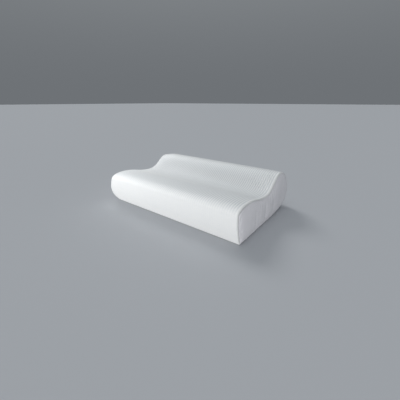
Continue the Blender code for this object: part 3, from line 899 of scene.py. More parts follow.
def hang(piece):
    """How far each point of a sheet moves when it hangs from its rim for a while."""
    scene = bpy.context.scene
    trial = bpy.data.objects.new("hanging_trial", piece.data.copy())
    scene.collection.objects.link(trial)
    rim = {v for edge in boundary_edges(trial.data) for v in edge}
    trial.vertex_groups.new(name="seam").add(list(rim), 1.0, "REPLACE")
    cloth = trial.modifiers.new("cloth", "CLOTH")
    cloth.settings.vertex_group_mass = "seam"
    cloth.settings.use_pressure = True
    cloth.settings.uniform_pressure_force = HANG_PRESSURE
    cloth.settings.shrink_min = -HANG_SPARE
    cloth.settings.effector_weights.gravity = 0.0
    cloth.point_cache.frame_start, cloth.point_cache.frame_end = 1, HANG_FRAMES
    for frame_number in range(1, HANG_FRAMES + 1):
        scene.frame_set(frame_number)
    hung = trial.evaluated_get(bpy.context.evaluated_depsgraph_get()).data
    moved = points_of(hung) - points_of(piece.data)
    scene.frame_set(1)
    trial_mesh = trial.data
    bpy.data.objects.remove(trial)
    bpy.data.meshes.remove(trial_mesh)
    return moved


def let_hang(piece, seam):
    """Moves a sheet's points as its trial hung, but never further than the cap."""
    start = points_of(piece.data)
    moved = hang(piece)
    reach = np.linalg.norm(moved, axis=1, keepdims=True) + TINY
    most = HANG_CAP * smooth(nearest(start[:, 1:], seam[:, 1:]) / HANG_FREE_RUN)[:, None]
    placed = start + moved / reach * most * np.tanh(reach / np.maximum(most, TINY))
    piece.data.vertices.foreach_set("co", placed.ravel())
    piece.data.update()
    print(piece.name, "moves up to %.4f m before the cap" % reach.max())

# %% [markdown]
# The end panels can now be made. The left one bulges less, because its belly already fills
# it.

# %% End panels
for side, word in SIDE_NAMES.items():
    panel = filled_end(side, "cover_%s_end" % word, edge_loop(side, as_cut), END_STEP,
                       HALF - SEAM_X, END_BULGE[side], plain_knit, "plain_knit", COVER_CLOTH)
    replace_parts(panel, "cover_%s_end_panel" % word)
    let_hang(panel, edge_loop(side))
    print(panel.name, len(panel.data.polygons), "faces")

# %% [markdown]
# ## Foam block and liner
#
# The foam is moulded in one piece, so its skin is even and its long edges are rounded. It
# follows the cover about 3 mm inside it, with a shallow hollow behind the zip where the
# slider passes. The liner is a tube of thin jersey with an end sewn into each side. Both
# follow the section moved inwards. Moving a curve inwards makes it cross itself at a tight
# corner, so points that come too near the outline are dropped, and the rest is smoothed.

# %% Soft loops inside the cover
LINER_DEPTH = 0.0015
LINER_CLOTH = 0.0008
FOAM_DEPTH = 0.0027
RELIEF_DEPTH = 0.0030
RELIEF_FLAT_HALF = 0.0090
RELIEF_RUN = 0.015
LOOP_POINTS = 1600
LOOP_SOFTNESS = 0.0030         # rounds the corner at the front seam
LOOP_NEAREST = 0.98            # points nearer the outline than this share of the depth go


# the whole outline of the section, evenly spaced, from the front bottom seam round
EVEN_SHARES = np.linspace(0, 1, LOOP_POINTS, endpoint=False)
ACROSS_ZIP = straight(MAIN_PATH[-1], BASE_PATH[0])[1:]
OUTLINE = share(np.vstack((MAIN_PATH, ACROSS_ZIP, BASE_PATH)), EVEN_SHARES)
OUTLINE_RUN = lengths(closed(OUTLINE))[-1]
print("the section is %.3f m round" % OUTLINE_RUN)


def soft_loop(depth):
    """The outline moved inwards, deeper behind the zip, with no sharp corner."""
    along = np.roll(OUTLINE, -2, 0) - np.roll(OUTLINE, 2, 0)
    along /= np.linalg.norm(along, axis=1, keepdims=True)
    inwards = np.stack((along[:, 1], -along[:, 0]), axis=1)
    from_zip = np.abs(OUTLINE[:, 1] - ZIP_HEIGHT)
    behind = smooth(1 - (from_zip - RELIEF_FLAT_HALF) / RELIEF_RUN) * (OUTLINE[:, 0] > DIP[0])
    moved = OUTLINE + inwards * (depth + RELIEF_DEPTH * behind)[:, None]
    moved = closed(moved[nearest(moved, OUTLINE) > depth * LOOP_NEAREST])
    evened = share(moved, EVEN_SHARES)
    step = np.arange(LOOP_POINTS)
    away = np.minimum(step, LOOP_POINTS - step) * lengths(moved)[-1] / LOOP_POINTS
    weight = np.exp(-(away / LOOP_SOFTNESS) ** 2)
    blur = np.fft.fft(weight / weight.sum())[:, None]
    return np.real(np.fft.ifft(np.fft.fft(evened, axis=0) * blur, axis=0))


def inside(column_x, depth, loop_points):
    """A place for each column and row of a tube that follows the soft loop."""
    loops = {}

    def place(column, row, lie=settle):
        points = np.zeros((len(column), 3))
        for one in np.unique(column):
            key = round(float(depth[one]), 6)
            if key not in loops:
                loops[key] = share(closed(soft_loop(key)), np.linspace(0, 1, loop_points))
            chosen = column == one
            points[chosen] = np.column_stack((column_x[column[chosen]], loops[key][row[chosen]]))
        return world_points(lie(points))

    return place

# %% [markdown]
# The liner keeps the foam clean and lets it slide into its cover. It is undyed cotton
# jersey: a warmer white than the cover, and a finer knit, drawn slightly coarser than it is
# so that its loops show.

# %% Liner
LINER_END_X = 0.2462
LINER_SEAM_X = 0.2446
LINER_LIP = (0.0070, 0.0055, 6)
LINER_STEP = 0.0062
LINER_ROWS = 150
LINER_ENDS_STEP = 0.0045
LINER_STITCH_PITCH = 0.0042
LINER_STITCH_LENGTH = 0.0016
LINER_STITCH_RADIUS = 0.00020
LINER_STITCH_REACH = 0.00020
LINER_YARN = "F3F1EA"
# the liner's gap colour is painted shade between its loops
LINER_GAP_SHADE = "DEDBD0"
LINER_WALE = 0.0010
LINER_COURSE = 0.0009
LINER_LOOP_DEPTH = 0.00010
LINER_HALO = 0.20

liner_jersey = knit("undyed_cotton_jersey", LINER_YARN, LINER_GAP_SHADE, LINER_WALE, LINER_COURSE,
                    LINER_LOOP_DEPTH, LINER_HALO)
LINER_COLUMN, LINER_LIPS = spread(2 * LINER_SEAM_X, LINER_STEP, LINER_LIP, LINER_LIP)
LINER_X = LINER_COLUMN - LINER_SEAM_X
liner_place = inside(LINER_X, LINER_DEPTH + LINER_LIPS, LINER_ROWS)


def liner_cut(column, row):
    return np.column_stack((LINER_X[column], row * OUTLINE_RUN / (LINER_ROWS - 1)))


def liner_rim(side, lie=settle):
    """World places of the liner tube's rim at one end, from the toe round."""
    column = last_column(side, LINER_X)
    return liner_place(np.full(LINER_ROWS, column), np.arange(LINER_ROWS), lie)


sleeve = grid_sheet("liner_tube", len(LINER_X), LINER_ROWS, liner_place, liner_cut,
                    liner_jersey, LINER_CLOTH, weld=True)
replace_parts(sleeve, "liner_sleeve")

for side, word in SIDE_NAMES.items():
    cap = filled_end(side, "liner_%s_cap" % word, liner_rim(side, as_cut), LINER_ENDS_STEP,
                     LINER_END_X - LINER_SEAM_X, 0.0, liner_jersey, "liner_jersey", LINER_CLOTH)
    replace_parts(cap, "liner_%s_end" % word)
print("liner", len(sleeve.data.polygons), "faces")

# %% [markdown]
# Memory foam is poured into a mould as one block, so it has a thin skin with open pores and
# cloudy, cream coloured patches. The block is a tube whose ends are closed, and a voxel
# Remesh gives it one even skin with softened edges.

# %% Foam material
FOAM_CREAM = "F1E9CF"
FOAM_DARK = "E9DDBB"
FOAM_PALE = "F6F0DC"
FOAM_ROUGHNESS = 0.92
PORE_SIZE = 0.0014             # about twice the real size, so that the pores show
PORE_DEPTH = 0.00025
CLOUD_SIZE = 0.035

memory_foam = new_material("moulded_memory_foam", FOAM_CREAM, FOAM_ROUGHNESS)
foam_space = add_node(memory_foam, "ShaderNodeTexCoord", output="Object")
pores = add_node(memory_foam, "ShaderNodeTexVoronoi",
                 {"Vector": foam_space, "Scale": 1 / PORE_SIZE})
add_node(memory_foam, "ShaderNodeBump",
         {"Height": pores, "Distance": PORE_DEPTH, "Strength": 1.0}, feeds="Normal")
clouds = add_node(memory_foam, "ShaderNodeTexNoise",
                  {"Vector": foam_space, "Scale": 1 / CLOUD_SIZE, "Detail": NOISE_DETAIL})
add_node(memory_foam, "ShaderNodeMix",
         {MIX_FACTOR: clouds, MIX_FIRST: linear(FOAM_DARK), MIX_SECOND: linear(FOAM_PALE)}, MIXED,
         "Base Color", data_type="RGBA")
print("foam pores are %.1f mm apart" % (1000 * PORE_SIZE))

# %% Foam block
FOAM_END_X = 0.2436
FOAM_LIP = (0.0120, 0.0090, 8)
FOAM_STEP = 0.0060
FOAM_ROWS = 150
FOAM_VOXEL = 0.0035

FOAM_COLUMN, FOAM_LIPS = spread(2 * FOAM_END_X, FOAM_STEP, FOAM_LIP, FOAM_LIP)
FOAM_X = FOAM_COLUMN - FOAM_END_X
foam_place = inside(FOAM_X, FOAM_DEPTH + FOAM_LIPS, FOAM_ROWS)
block = bmesh.new()
laid_grid(block, len(FOAM_X), FOAM_ROWS, foam_place)
bmesh.ops.remove_doubles(block, verts=block.verts, dist=WELD)
bmesh.ops.holes_fill(block, edges=block.edges, sides=0)
bmesh.ops.recalc_face_normals(block, faces=block.faces)
foam = keep("foam_block", block, memory_foam)
skin = foam.modifiers.new("even_skin", "REMESH")
skin.mode = "VOXEL"
skin.voxel_size = FOAM_VOXEL
skin.use_smooth_shade = True
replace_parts(foam, "foam_core")
print("foam block is cast %.3f m long" % (2 * FOAM_END_X))

# %% [markdown]
# ## Threads
#
# Every seam is a row of short stitches. One stitch is a thin grain of thread whose ends
# dive into the cloth. Where two panels meet, the stitches bridge the corner between them.
# The thread is smooth spun polyester: brighter than the knit, with a fine twist along it.

# %% Thread
THREAD_COLOUR = "F2F2F0"
THREAD_DARK = "E6E6E3"
THREAD_PALE = "F6F6F4"
THREAD_ROUGHNESS = 0.55
THREAD_HALO = 0.15
TWIST_SIZE = 0.0035
TWIST_WANDER = 0.6
TWIST_DEPTH = 0.00004
SPUN_SIZE = 0.003              # thick and thin places along the thread

polyester_thread = new_material("spun_polyester_thread", THREAD_COLOUR, THREAD_ROUGHNESS,
                                Sheen_Weight=THREAD_HALO)
thread_space = add_node(polyester_thread, "ShaderNodeTexCoord", output="Object")
twist = add_node(polyester_thread, "ShaderNodeTexWave",
                 {"Vector": thread_space, "Scale": 1 / TWIST_SIZE, "Distortion": TWIST_WANDER},
                 "Fac", bands_direction="DIAGONAL")
add_node(polyester_thread, "ShaderNodeBump",
         {"Height": twist, "Distance": TWIST_DEPTH, "Strength": 1.0}, feeds="Normal")
spun = add_node(polyester_thread, "ShaderNodeTexNoise",
                {"Vector": thread_space, "Scale": 1 / SPUN_SIZE, "Detail": NOISE_DETAIL})
add_node(polyester_thread, "ShaderNodeMix",
         {MIX_FACTOR: spun, MIX_FIRST: linear(THREAD_DARK), MIX_SECOND: linear(THREAD_PALE)},
         MIXED, "Base Color", data_type="RGBA")
print("thread", polyester_thread.name)

# %% [markdown]
# A sphere with very few faces is enough for one stitch, because there are thousands. All
# the stitches of a seam go into one mesh, which is far quicker than an object for each.

# %% Stitches
STITCH_SIDES = 6
STITCH_RINGS = 4
SEAM_STITCH_PITCH = 0.0030
SEAM_STITCH_LENGTH = 0.0019
SEAM_STITCH_RADIUS = 0.00024
SEAM_STITCH_REACH = 0.00045    # how far a seam stitch stands out of the corner
TOE_STITCH_LENGTH = 0.0010
TOE_STITCH_REACH = 0.0006

def stitch_row(name, places, directions, length, radius, replaced=None):
    """One piece made of a stitch at each place, lying along its direction."""
    bm = bmesh.new()
    grain = Matrix.Diagonal((radius, radius, length / 2, 1.0))
    for spot, direction in zip(places, directions):
        turn = Vector(direction).to_track_quat("Z", "Y").to_matrix().to_4x4()
        bmesh.ops.create_uvsphere(bm, u_segments=STITCH_SIDES, v_segments=STITCH_RINGS,
                                  radius=1.0, matrix=Matrix.Translation(spot) @ turn @ grain)
    piece = keep(name, bm, polyester_thread)
    if replaced:
        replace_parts(piece, replaced)


def section_outward(loop):
    """Outward direction across the section at each point of a closed world loop."""
    along = np.roll(loop, -1, 0) - np.roll(loop, 1, 0)
    along /= np.linalg.norm(along, axis=1, keepdims=True) + TINY
    return np.stack((np.zeros(len(loop)), -along[:, 2], along[:, 1]), axis=1)


def end_seam(layer, side, loop, pitch, reach, length, radius):
    """Stitches round one end of the cover or the liner, across the corner of its two cloths.
    The loop's last point lies on its first."""
    count = round(lengths(loop)[-1] / pitch)
    places = share(loop, np.linspace(0, 1, count, endpoint=False))
    out = section_outward(places)
    sideways = np.array((side, 0.0, 0.0))
    name = "%s_%s_seam" % (layer, SIDE_NAMES[side])
    stitch_row(name + "_stitches", places + (out + sideways) * reach, sideways - out,
               length, radius, name + "_thread")
    print(name, "has", count, "stitches")


for side in SIDE_NAMES:
    end_seam("cover", side, closed(edge_loop(side)), SEAM_STITCH_PITCH, SEAM_STITCH_REACH,
             SEAM_STITCH_LENGTH, SEAM_STITCH_RADIUS)
    end_seam("liner", side, liner_rim(side), LINER_STITCH_PITCH, LINER_STITCH_REACH,
             LINER_STITCH_LENGTH, LINER_STITCH_RADIUS)

# %% [markdown]
# The front seam hides in the corner at the bottom, where it shows as a thin line. Its
# stitches lie across the corner, halfway between the two panels.

# %% Front seam
toe_x = np.arange(-SEAM_X + SEAM_STITCH_PITCH, SEAM_X - SEAM_STITCH_PITCH / 2, SEAM_STITCH_PITCH)
toe_point = TOE + TOE_INWARDS * (TOE_LIP[1] - TOE_STITCH_REACH)
toe_places = world_points(settle(np.column_stack((toe_x, np.tile(toe_point, (len(toe_x), 1))))))
toe_direction = (0.0, TOE_INWARDS[1], -TOE_INWARDS[0])
stitch_row("cover_front_seam_stitches", toe_places, [toe_direction] * len(toe_x),
           TOE_STITCH_LENGTH, SEAM_STITCH_RADIUS, "cover_front_seam_thread")

# %% [markdown]
# ## The zip
#
# A nylon coil zip is sewn behind the opening low on the back. Its two tapes are woven
# polyester in a flat herringbone: slanting lines that turn back in the middle of the tape.

# %% Tape material
ZIP_SIDES = {1: "upper", -1: "lower"}
REAR_Y = REAR_TOP[0] - MIDDLE
TAPE_COLOUR = "EFEFEE"
# painted light and shade on the weave: raised threads paler, low threads darker
TAPE_WEAVE_SHADE = "D9DAD9"
TAPE_WEAVE_LIT = "F3F3F2"
TAPE_ROUGHNESS = 0.80
TAPE_HALO = 0.15
HERRINGBONE = 0.004            # how far apart the slanting lines turn back
TWILL_PITCH = 0.0008
WEFT_PITCH = 0.0005
WEFT_SHARE = 0.4
WEAVE_DEPTH = 0.00005
WEAVE_SHADING_STRENGTH = 0.3
WEAVE_MIDDLE = 0.5

zip_tape = new_material("woven_polyester_zip_tape", TAPE_COLOUR, TAPE_ROUGHNESS,
                        Sheen_Weight=TAPE_HALO)
tape_across, tape_along = cut_place(zip_tape)[1:]
turned = add_node(zip_tape, "ShaderNodeMath", [tape_along, HERRINGBONE], operation="PINGPONG")
slant = add_node(zip_tape, "ShaderNodeMath", [tape_across, turned], operation="ADD")
twill_turns = add_node(zip_tape, "ShaderNodeMath", [slant, 2 * math.pi / TWILL_PITCH],
                       operation="MULTIPLY")
twill = add_node(zip_tape, "ShaderNodeMath", [twill_turns], operation="SINE")
weft_turns = add_node(zip_tape, "ShaderNodeMath", [tape_along, 2 * math.pi / WEFT_PITCH],
                      operation="MULTIPLY")
weft = add_node(zip_tape, "ShaderNodeMath", [weft_turns], operation="SINE")
weave = add_node(zip_tape, "ShaderNodeMath", [weft, WEFT_SHARE, twill],
                 operation="MULTIPLY_ADD")
add_node(zip_tape, "ShaderNodeBump",
         {"Height": weave, "Distance": WEAVE_DEPTH, "Strength": 1.0}, feeds="Normal")
# painted light and shade: the colour follows the weave's relief, paler on the raised threads and
# darker between them
weave_shading = add_node(zip_tape, "ShaderNodeMath", [weave, WEAVE_SHADING_STRENGTH, WEAVE_MIDDLE],
                      operation="MULTIPLY_ADD")
add_node(zip_tape, "ShaderNodeMix",
         {MIX_FACTOR: weave_shading, MIX_FIRST: linear(TAPE_WEAVE_SHADE), MIX_SECOND: linear(TAPE_WEAVE_LIT)},
         MIXED, "Base Color", data_type="RGBA")
print("the zip runs at", ZIP_HEIGHT, "m up the back")

# %% [markdown]
# A tape is not quite flat: a woven cord thickens the edge that carries the coil, and the
# sewing leaves the rest slightly wavy.

# %% Zip tapes
TAPE_HALF_LENGTH = 0.2466
TAPE_INNER = 0.0032
TAPE_WIDTH = 0.0100
TAPE_CLOTH = 0.0005
TAPE_DEPTH = 0.0015
TAPE_COLUMNS = 260
TAPE_ROWS = 12
TAPE_CORD = 0.00035            # the tape is thicker along the coil
TAPE_WAVE = 0.00012
TAPE_CORD_PLACE = 0.06         # of the tape's width, and how wide the cord is
TAPE_WAVES = (310, 97)         # short and long waves along the tape, in radians to a metre
TAPE_WAVE_SHIFT = 1.7          # so that the two tapes don't wave together


def zip_place(x, out, up):
    """World places given along the zip, out of the cover's face and up from its centre."""
    return np.column_stack(np.broadcast_arrays(x, REAR_Y + out, ZIP_HEIGHT + up))


def tape_cut(column, row):
    """Flat positions on a tape, along it and out from its coil edge."""
    x = np.linspace(-TAPE_HALF_LENGTH, TAPE_HALF_LENGTH, TAPE_COLUMNS)[column]
    return np.column_stack((x, row / (TAPE_ROWS - 1) * TAPE_WIDTH))


for side, word in ZIP_SIDES.items():
    def tape_place(column, row, side=side):
        x, across = tape_cut(column, row).T
        share_out = across / TAPE_WIDTH
        cord = TAPE_CORD * np.exp(-((share_out - TAPE_CORD_PLACE) / TAPE_CORD_PLACE) ** 2)
        wave = np.sin(TAPE_WAVES[0] * x + TAPE_WAVE_SHIFT * side)
        wave *= np.sin(TAPE_WAVES[1] * x + share_out)
        out = cord + TAPE_WAVE * (wave - 1) - TAPE_DEPTH
        return zip_place(x, out, side * (TAPE_INNER + across))

    tape = grid_sheet("zip_%s_tape" % word, TAPE_COLUMNS, TAPE_ROWS, tape_place, tape_cut,
                      zip_tape, TAPE_CLOTH, flip=side > 0)
    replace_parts(tape, "zip_tape_" + word)
print("each tape is %.3f m long" % (2 * TAPE_HALF_LENGTH))

# %% [markdown]
# Each coil is one bent nylon wire whose turns hook between the turns of the other. The
# turns stop just short of the middle, where the slider's post runs. A ring spun a few times
# round makes the first turns, and copying them onto their own end seven times makes 384,
# which is much quicker than spinning them all.

# %% Coil material
NYLON_COLOUR = "F0F0ED"
NYLON_ROUGHNESS = 0.38
NYLON_ROUGHNESS_LOW = 0.28     # duller where the turns are pressed
NYLON_ROUGHNESS_HIGH = 0.50
NYLON_IOR = 1.53
NYLON_SOFTNESS = 0.2           # how much of the light goes a little way in
NYLON_REACH = (0.0006, 0.0006, 0.0005)
PRESSED_SIZE = 0.0012

nylon_coil = new_material("moulded_nylon_coil", NYLON_COLOUR, NYLON_ROUGHNESS, IOR=NYLON_IOR,
                          Subsurface_Weight=NYLON_SOFTNESS, Subsurface_Radius=NYLON_REACH,
                          Subsurface_Scale=1.0)
nylon_space = add_node(nylon_coil, "ShaderNodeTexCoord", output="Object")
pressed = add_node(nylon_coil, "ShaderNodeTexNoise",
                   {"Vector": nylon_space, "Scale": 1 / PRESSED_SIZE, "Detail": NOISE_DETAIL})
add_node(nylon_coil, "ShaderNodeMapRange",
         {"Value": pressed, "To Min": NYLON_ROUGHNESS_LOW, "To Max": NYLON_ROUGHNESS_HIGH},
         feeds="Roughness")
print("nylon", nylon_coil.name)

# %% Coils
COIL_FIRST_TURNS = 3           # bent first, then doubled until the coil is long enough
COIL_DOUBLINGS = 7
COIL_TURNS = COIL_FIRST_TURNS * 2 ** COIL_DOUBLINGS
COIL_PITCH = 2 * TAPE_HALF_LENGTH / (COIL_TURNS + 1)
COIL_WIRE_RADIUS = 0.00026
COIL_WIRE_SIDES = 6
COIL_TURN_STEPS = 12
COIL_HEIGHT_HALF = 0.00072     # half the coil's depth, to the middle of the wire
COIL_WIDTH_HALF = 0.00105
COIL_HEAD = 0.00022            # from the zip's centre line to the turns' heads
COIL_DEPTH = 0.0005
COIL_MIDDLE = COIL_HEAD + COIL_WIRE_RADIUS + COIL_WIDTH_HALF
COIL_OUT = REAR_Y - COIL_DEPTH - COIL_WIRE_RADIUS - COIL_HEIGHT_HALF
COIL_STRETCH = COIL_WIDTH_HALF / COIL_HEIGHT_HALF - 1    # a turn is wider than it is deep


def doubled_coil(side):
    """A closed round coil along X that turns one way or the other."""
    bm = bmesh.new()
    top = (0.0, COIL_HEIGHT_HALF, 0.0)
    stand = Matrix.Translation(top) @ Matrix.Rotation(math.pi / 2, 4, "Y")
    ring = bmesh.ops.create_circle(bm, segments=COIL_WIRE_SIDES, radius=COIL_WIRE_RADIUS,
                                   matrix=stand)
    bmesh.ops.rotate(bm, verts=ring["verts"], cent=top,
                     matrix=Matrix.Rotation(math.pi / 2, 3, "Z"))
    bmesh.ops.spin(bm, geom=bm.edges[:] + bm.verts[:], cent=(0.0, 0.0, 0.0), axis=(1.0, 0.0, 0.0),
                   dvec=(COIL_PITCH / COIL_TURN_STEPS, 0.0, 0.0),
                   angle=side * 2 * math.pi * COIL_FIRST_TURNS,
                   steps=COIL_FIRST_TURNS * COIL_TURN_STEPS, use_merge=False)
    for doubling in range(COIL_DOUBLINGS):
        copy = bmesh.ops.duplicate(bm, geom=bm.verts[:] + bm.edges[:] + bm.faces[:])["geom"]
        moved = [item for item in copy if isinstance(item, bmesh.types.BMVert)]
        bmesh.ops.translate(bm, verts=moved,
                            vec=(COIL_FIRST_TURNS * 2 ** doubling * COIL_PITCH, 0.0, 0.0))
    bmesh.ops.remove_doubles(bm, verts=bm.verts, dist=WELD)
    bmesh.ops.holes_fill(bm, edges=bm.edges, sides=0)
    return bm


for side, word in ZIP_SIDES.items():
    coil_mesh = doubled_coil(side)
    start_x = (side / 4 - COIL_TURNS / 2) * COIL_PITCH
    for vert in coil_mesh.verts:
        x, out, up = vert.co
        stretch = 1 + COIL_STRETCH * (up / math.hypot(out, up)) ** 2
        vert.co = (start_x + x, COIL_OUT + out, ZIP_HEIGHT + side * COIL_MIDDLE + up * stretch)
    bmesh.ops.recalc_face_normals(coil_mesh, faces=coil_mesh.faces)
    coil = keep("zip_%s_coil" % word, coil_mesh, nylon_coil)
    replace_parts(coil, "zip_coil_" + word)
print("zip coils have", COIL_TURNS, "turns each")

# %% [markdown]
# Each coil is held on its tape by a row of chain stitches, one over every second turn.

# %% Coil sewing
SEWN_FIRST = 0.002             # from the left end of the tape
SEWN_LAST = 0.001
SEWN_DEPTH = 0.00095
SEWN_UP = 0.00285
SEWN_LENGTH = 0.0019
SEWN_RADIUS = 0.00017
SEWN_LEAN = (0.25, -0.55)      # along the zip, and inwards, for each metre up

sewn_x = np.arange(-TAPE_HALF_LENGTH + SEWN_FIRST, TAPE_HALF_LENGTH - SEWN_LAST, 2 * COIL_PITCH)
for side, word in ZIP_SIDES.items():
    stitch_row("zip_%s_coil_stitches" % word, zip_place(sewn_x, -SEWN_DEPTH, side * SEWN_UP),
               [(*SEWN_LEAN, side)] * len(sewn_x), SEWN_LENGTH, SEWN_RADIUS)
print("coil stitches", len(sewn_x), "on each side")

# %% [markdown]
# The cover's folded edges are sewn to the tapes by one straight row each. Past the stops,
# a bar tack closes the opening: a tight zigzag from one edge to the other.

# %% Topstitching and bar tacks
TOPSTITCH_PITCH = 0.0030
TOPSTITCH_LENGTH = 0.0028
TOPSTITCH_RADIUS = 0.00030
TOPSTITCH_UP = OPENING_HALF + STITCH_INSET
TOPSTITCH_OUT = TOPSTITCH_RADIUS / 2 - STITCH_SINK
TOPSTITCH_LEAN = (1.0, 0.0, 0.05)
TOPSTITCH_FIRST = 0.003        # from the seam at the left end
TOPSTITCH_LAST = 0.002
TACK_X = 0.2376
TACK_HALF_WIDTH = 0.00125
TACK_HALF_HEIGHT = 0.0074
TACK_STITCHES = 22
TACK_RADIUS = 0.00030
TACK_OUT = 0.00045
TACK_SLANT = 0.14

stitch_x = np.arange(-SEAM_X + TOPSTITCH_FIRST, SEAM_X - TOPSTITCH_LAST, TOPSTITCH_PITCH)
for side, word in ZIP_SIDES.items():
    stitch_row("zip_%s_topstitch" % word,
               zip_place(stitch_x, TOPSTITCH_OUT, side * TOPSTITCH_UP),
               [TOPSTITCH_LEAN] * len(stitch_x), TOPSTITCH_LENGTH, TOPSTITCH_RADIUS,
               "zip_topstitch_" + word)
tack_up = np.linspace(-TACK_HALF_HEIGHT, TACK_HALF_HEIGHT, TACK_STITCHES)
zigzag = [(1.0, 0.0, TACK_SLANT * (-1) ** k) for k in range(TACK_STITCHES)]
for side, word in SIDE_NAMES.items():
    stitch_row("zip_%s_tack" % word, zip_place(side * TACK_X, TACK_OUT, tack_up), zigzag,
               2 * TACK_HALF_WIDTH, TACK_RADIUS, "zip_tack_" + word)
print("topstitches", len(stitch_x), "in each row")

# %% [markdown]
# The stops, slider and pull are zinc: stops pressed from strip, slider and pull die cast
# and plated, so their edges are all softly rounded. Bright nickel over a cast surface has a
# cloudy gloss, a faint orange peel and duller worn patches.

# %% Metal
ZINC_COLOUR = "C6C7C9"
ZINC_WORN = "B4B5B8"
ZINC_BRIGHT = "D6D7D8"
ZINC_ROUGHNESS = 0.30
ZINC_ROUGHNESS_LOW = 0.20
ZINC_ROUGHNESS_HIGH = 0.42
POLISH_SIZE = 0.003
WEAR_SIZE = 0.0045
PEEL_SIZE = 0.0007
PEEL_DEPTH = 0.00003

zinc = new_material("nickel_plated_zinc_casting", ZINC_COLOUR, ZINC_ROUGHNESS, Metallic=1.0)
zinc_space = add_node(zinc, "ShaderNodeTexCoord", output="Object")
polish = add_node(zinc, "ShaderNodeTexNoise",
                  {"Vector": zinc_space, "Scale": 1 / POLISH_SIZE, "Detail": NOISE_DETAIL})
add_node(zinc, "ShaderNodeMapRange",
         {"Value": polish, "To Min": ZINC_ROUGHNESS_LOW, "To Max": ZINC_ROUGHNESS_HIGH},
         feeds="Roughness")
wear = add_node(zinc, "ShaderNodeTexNoise",
                {"Vector": zinc_space, "Scale": 1 / WEAR_SIZE, "Detail": NOISE_DETAIL})
add_node(zinc, "ShaderNodeMix",
         {MIX_FACTOR: wear, MIX_FIRST: linear(ZINC_WORN), MIX_SECOND: linear(ZINC_BRIGHT)},
         MIXED, "Base Color", data_type="RGBA")
peel = add_node(zinc, "ShaderNodeTexNoise",
                {"Vector": zinc_space, "Scale": 1 / PEEL_SIZE, "Detail": NOISE_DETAIL})
add_node(zinc, "ShaderNodeBump", {"Height": peel, "Distance": PEEL_DEPTH, "Strength": 1.0},
         feeds="Normal")
print("metal", zinc.name)

# %% [markdown]
# All the metal is made from two shapes: a block with bevelled edges, and a plate cut to an
# outline. Blender's flat curves make the plates, because they take holes and round their
# own rims. The curve is then made a mesh and joined to the rest.

# %% Metal shapes
METAL_EDGE = 0.00018
METAL_EDGE_STEPS = 2
SHARP_ANGLE = math.radians(40)     # a bend past this is shaded as an edge
ZIP_ORIGIN = Matrix.Translation((0.0, REAR_Y, ZIP_HEIGHT))


def add_block(bm, low, high, radius=METAL_EDGE):
    """A box between two corners with every edge rounded."""
    low, high = Vector(low), Vector(high)
    place = Matrix.Translation((low + high) / 2) @ Matrix.Diagonal((*(high - low), 1.0))
    made = bmesh.ops.create_cube(bm, size=1.0, matrix=place)["verts"]
    edges = list({edge for vert in made for edge in vert.link_edges})
    bmesh.ops.bevel(bm, geom=edges, offset=radius, segments=METAL_EDGE_STEPS, profile=0.5,
                    affect="EDGES", material=-1)


def add_plate(bm, outlines, thickness, turn, radius=METAL_EDGE):
    """A flat outline, with any holes after it, given a thickness and rounded rims."""
    outline = bpy.data.curves.new("outline", "CURVE")
    outline.dimensions = "2D"
    outline.fill_mode = "BOTH"
    outline.extrude = thickness / 2 - radius
    outline.bevel_depth = radius
    outline.bevel_resolution = METAL_EDGE_STEPS
    outline.offset = -radius
    for points in outlines:
        spline = outline.splines.new("POLY")
        spline.points.add(len(points) - 1)
        for point, (u, v) in zip(spline.points, points):
            point.co = (u, v, 0.0, 1.0)
        spline.use_cyclic_u = True
    holder = bpy.data.objects.new("outline", outline)
    mesh = bpy.data.meshes.new_from_object(holder)
    mesh.transform(turn)
    bm.from_mesh(mesh)
    bpy.data.objects.remove(holder)
    bpy.data.meshes.remove(mesh)


def metal(name, bm, body="pillow"):
    """A finished metal piece, smooth but for its sharp bends."""
    bmesh.ops.remove_doubles(bm, verts=bm.verts, dist=WELD)
    bmesh.ops.recalc_face_normals(bm, faces=bm.faces)
    piece = keep(name, bm, zinc, body)
    piece.data.set_sharp_from_angle(angle=SHARP_ANGLE)
    return piece

# %% [markdown]
# A stop at each end of the coils keeps the slider on. It is two small clips, pressed round
# the coils side by side, with a bar between them.

# %% Stops
STOP_X = 0.2236
STOP_HALF_LENGTH = 0.0015
STOP_HALF_HEIGHT = 0.0030
CLIP_SHIFT = 0.00080           # from the stop's middle to each clip's
CLIP_HALF = 0.00062
CLIP_BACK = -0.0030
CLIP_FRONT = 0.0005
CLIP_EDGE = 0.0004
BAR_HALF = 0.0004
BAR_SHORT = 0.0006             # how much shorter the bar is than the clips, at each end

for side, word in ((1, "top"), (-1, "bottom")):
    clip = bmesh.new()
    middle = side * STOP_X
    for clip_x in (middle - CLIP_SHIFT, middle + CLIP_SHIFT):
        add_block(clip, (clip_x - CLIP_HALF, CLIP_BACK, -STOP_HALF_HEIGHT),
                  (clip_x + CLIP_HALF, CLIP_FRONT, STOP_HALF_HEIGHT), CLIP_EDGE)
    add_block(clip, (middle - STOP_HALF_LENGTH, -BAR_HALF, BAR_SHORT - STOP_HALF_HEIGHT),
              (middle + STOP_HALF_LENGTH, BAR_HALF, STOP_HALF_HEIGHT - BAR_SHORT))
    clip.transform(ZIP_ORIGIN)
    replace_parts(metal("zip_%s_stop_clip" % word, clip), "zip_%s_stop" % word)
print("stops at %.4f m either side of the middle" % STOP_X)

# %% [markdown]
# The slider is two plates joined by a post, with turned rims that hold the coils together,
# and a crown on its outer plate that carries the pull. Seen from outside it is a rounded
# oblong, a little broader at the end that meets the open zip.

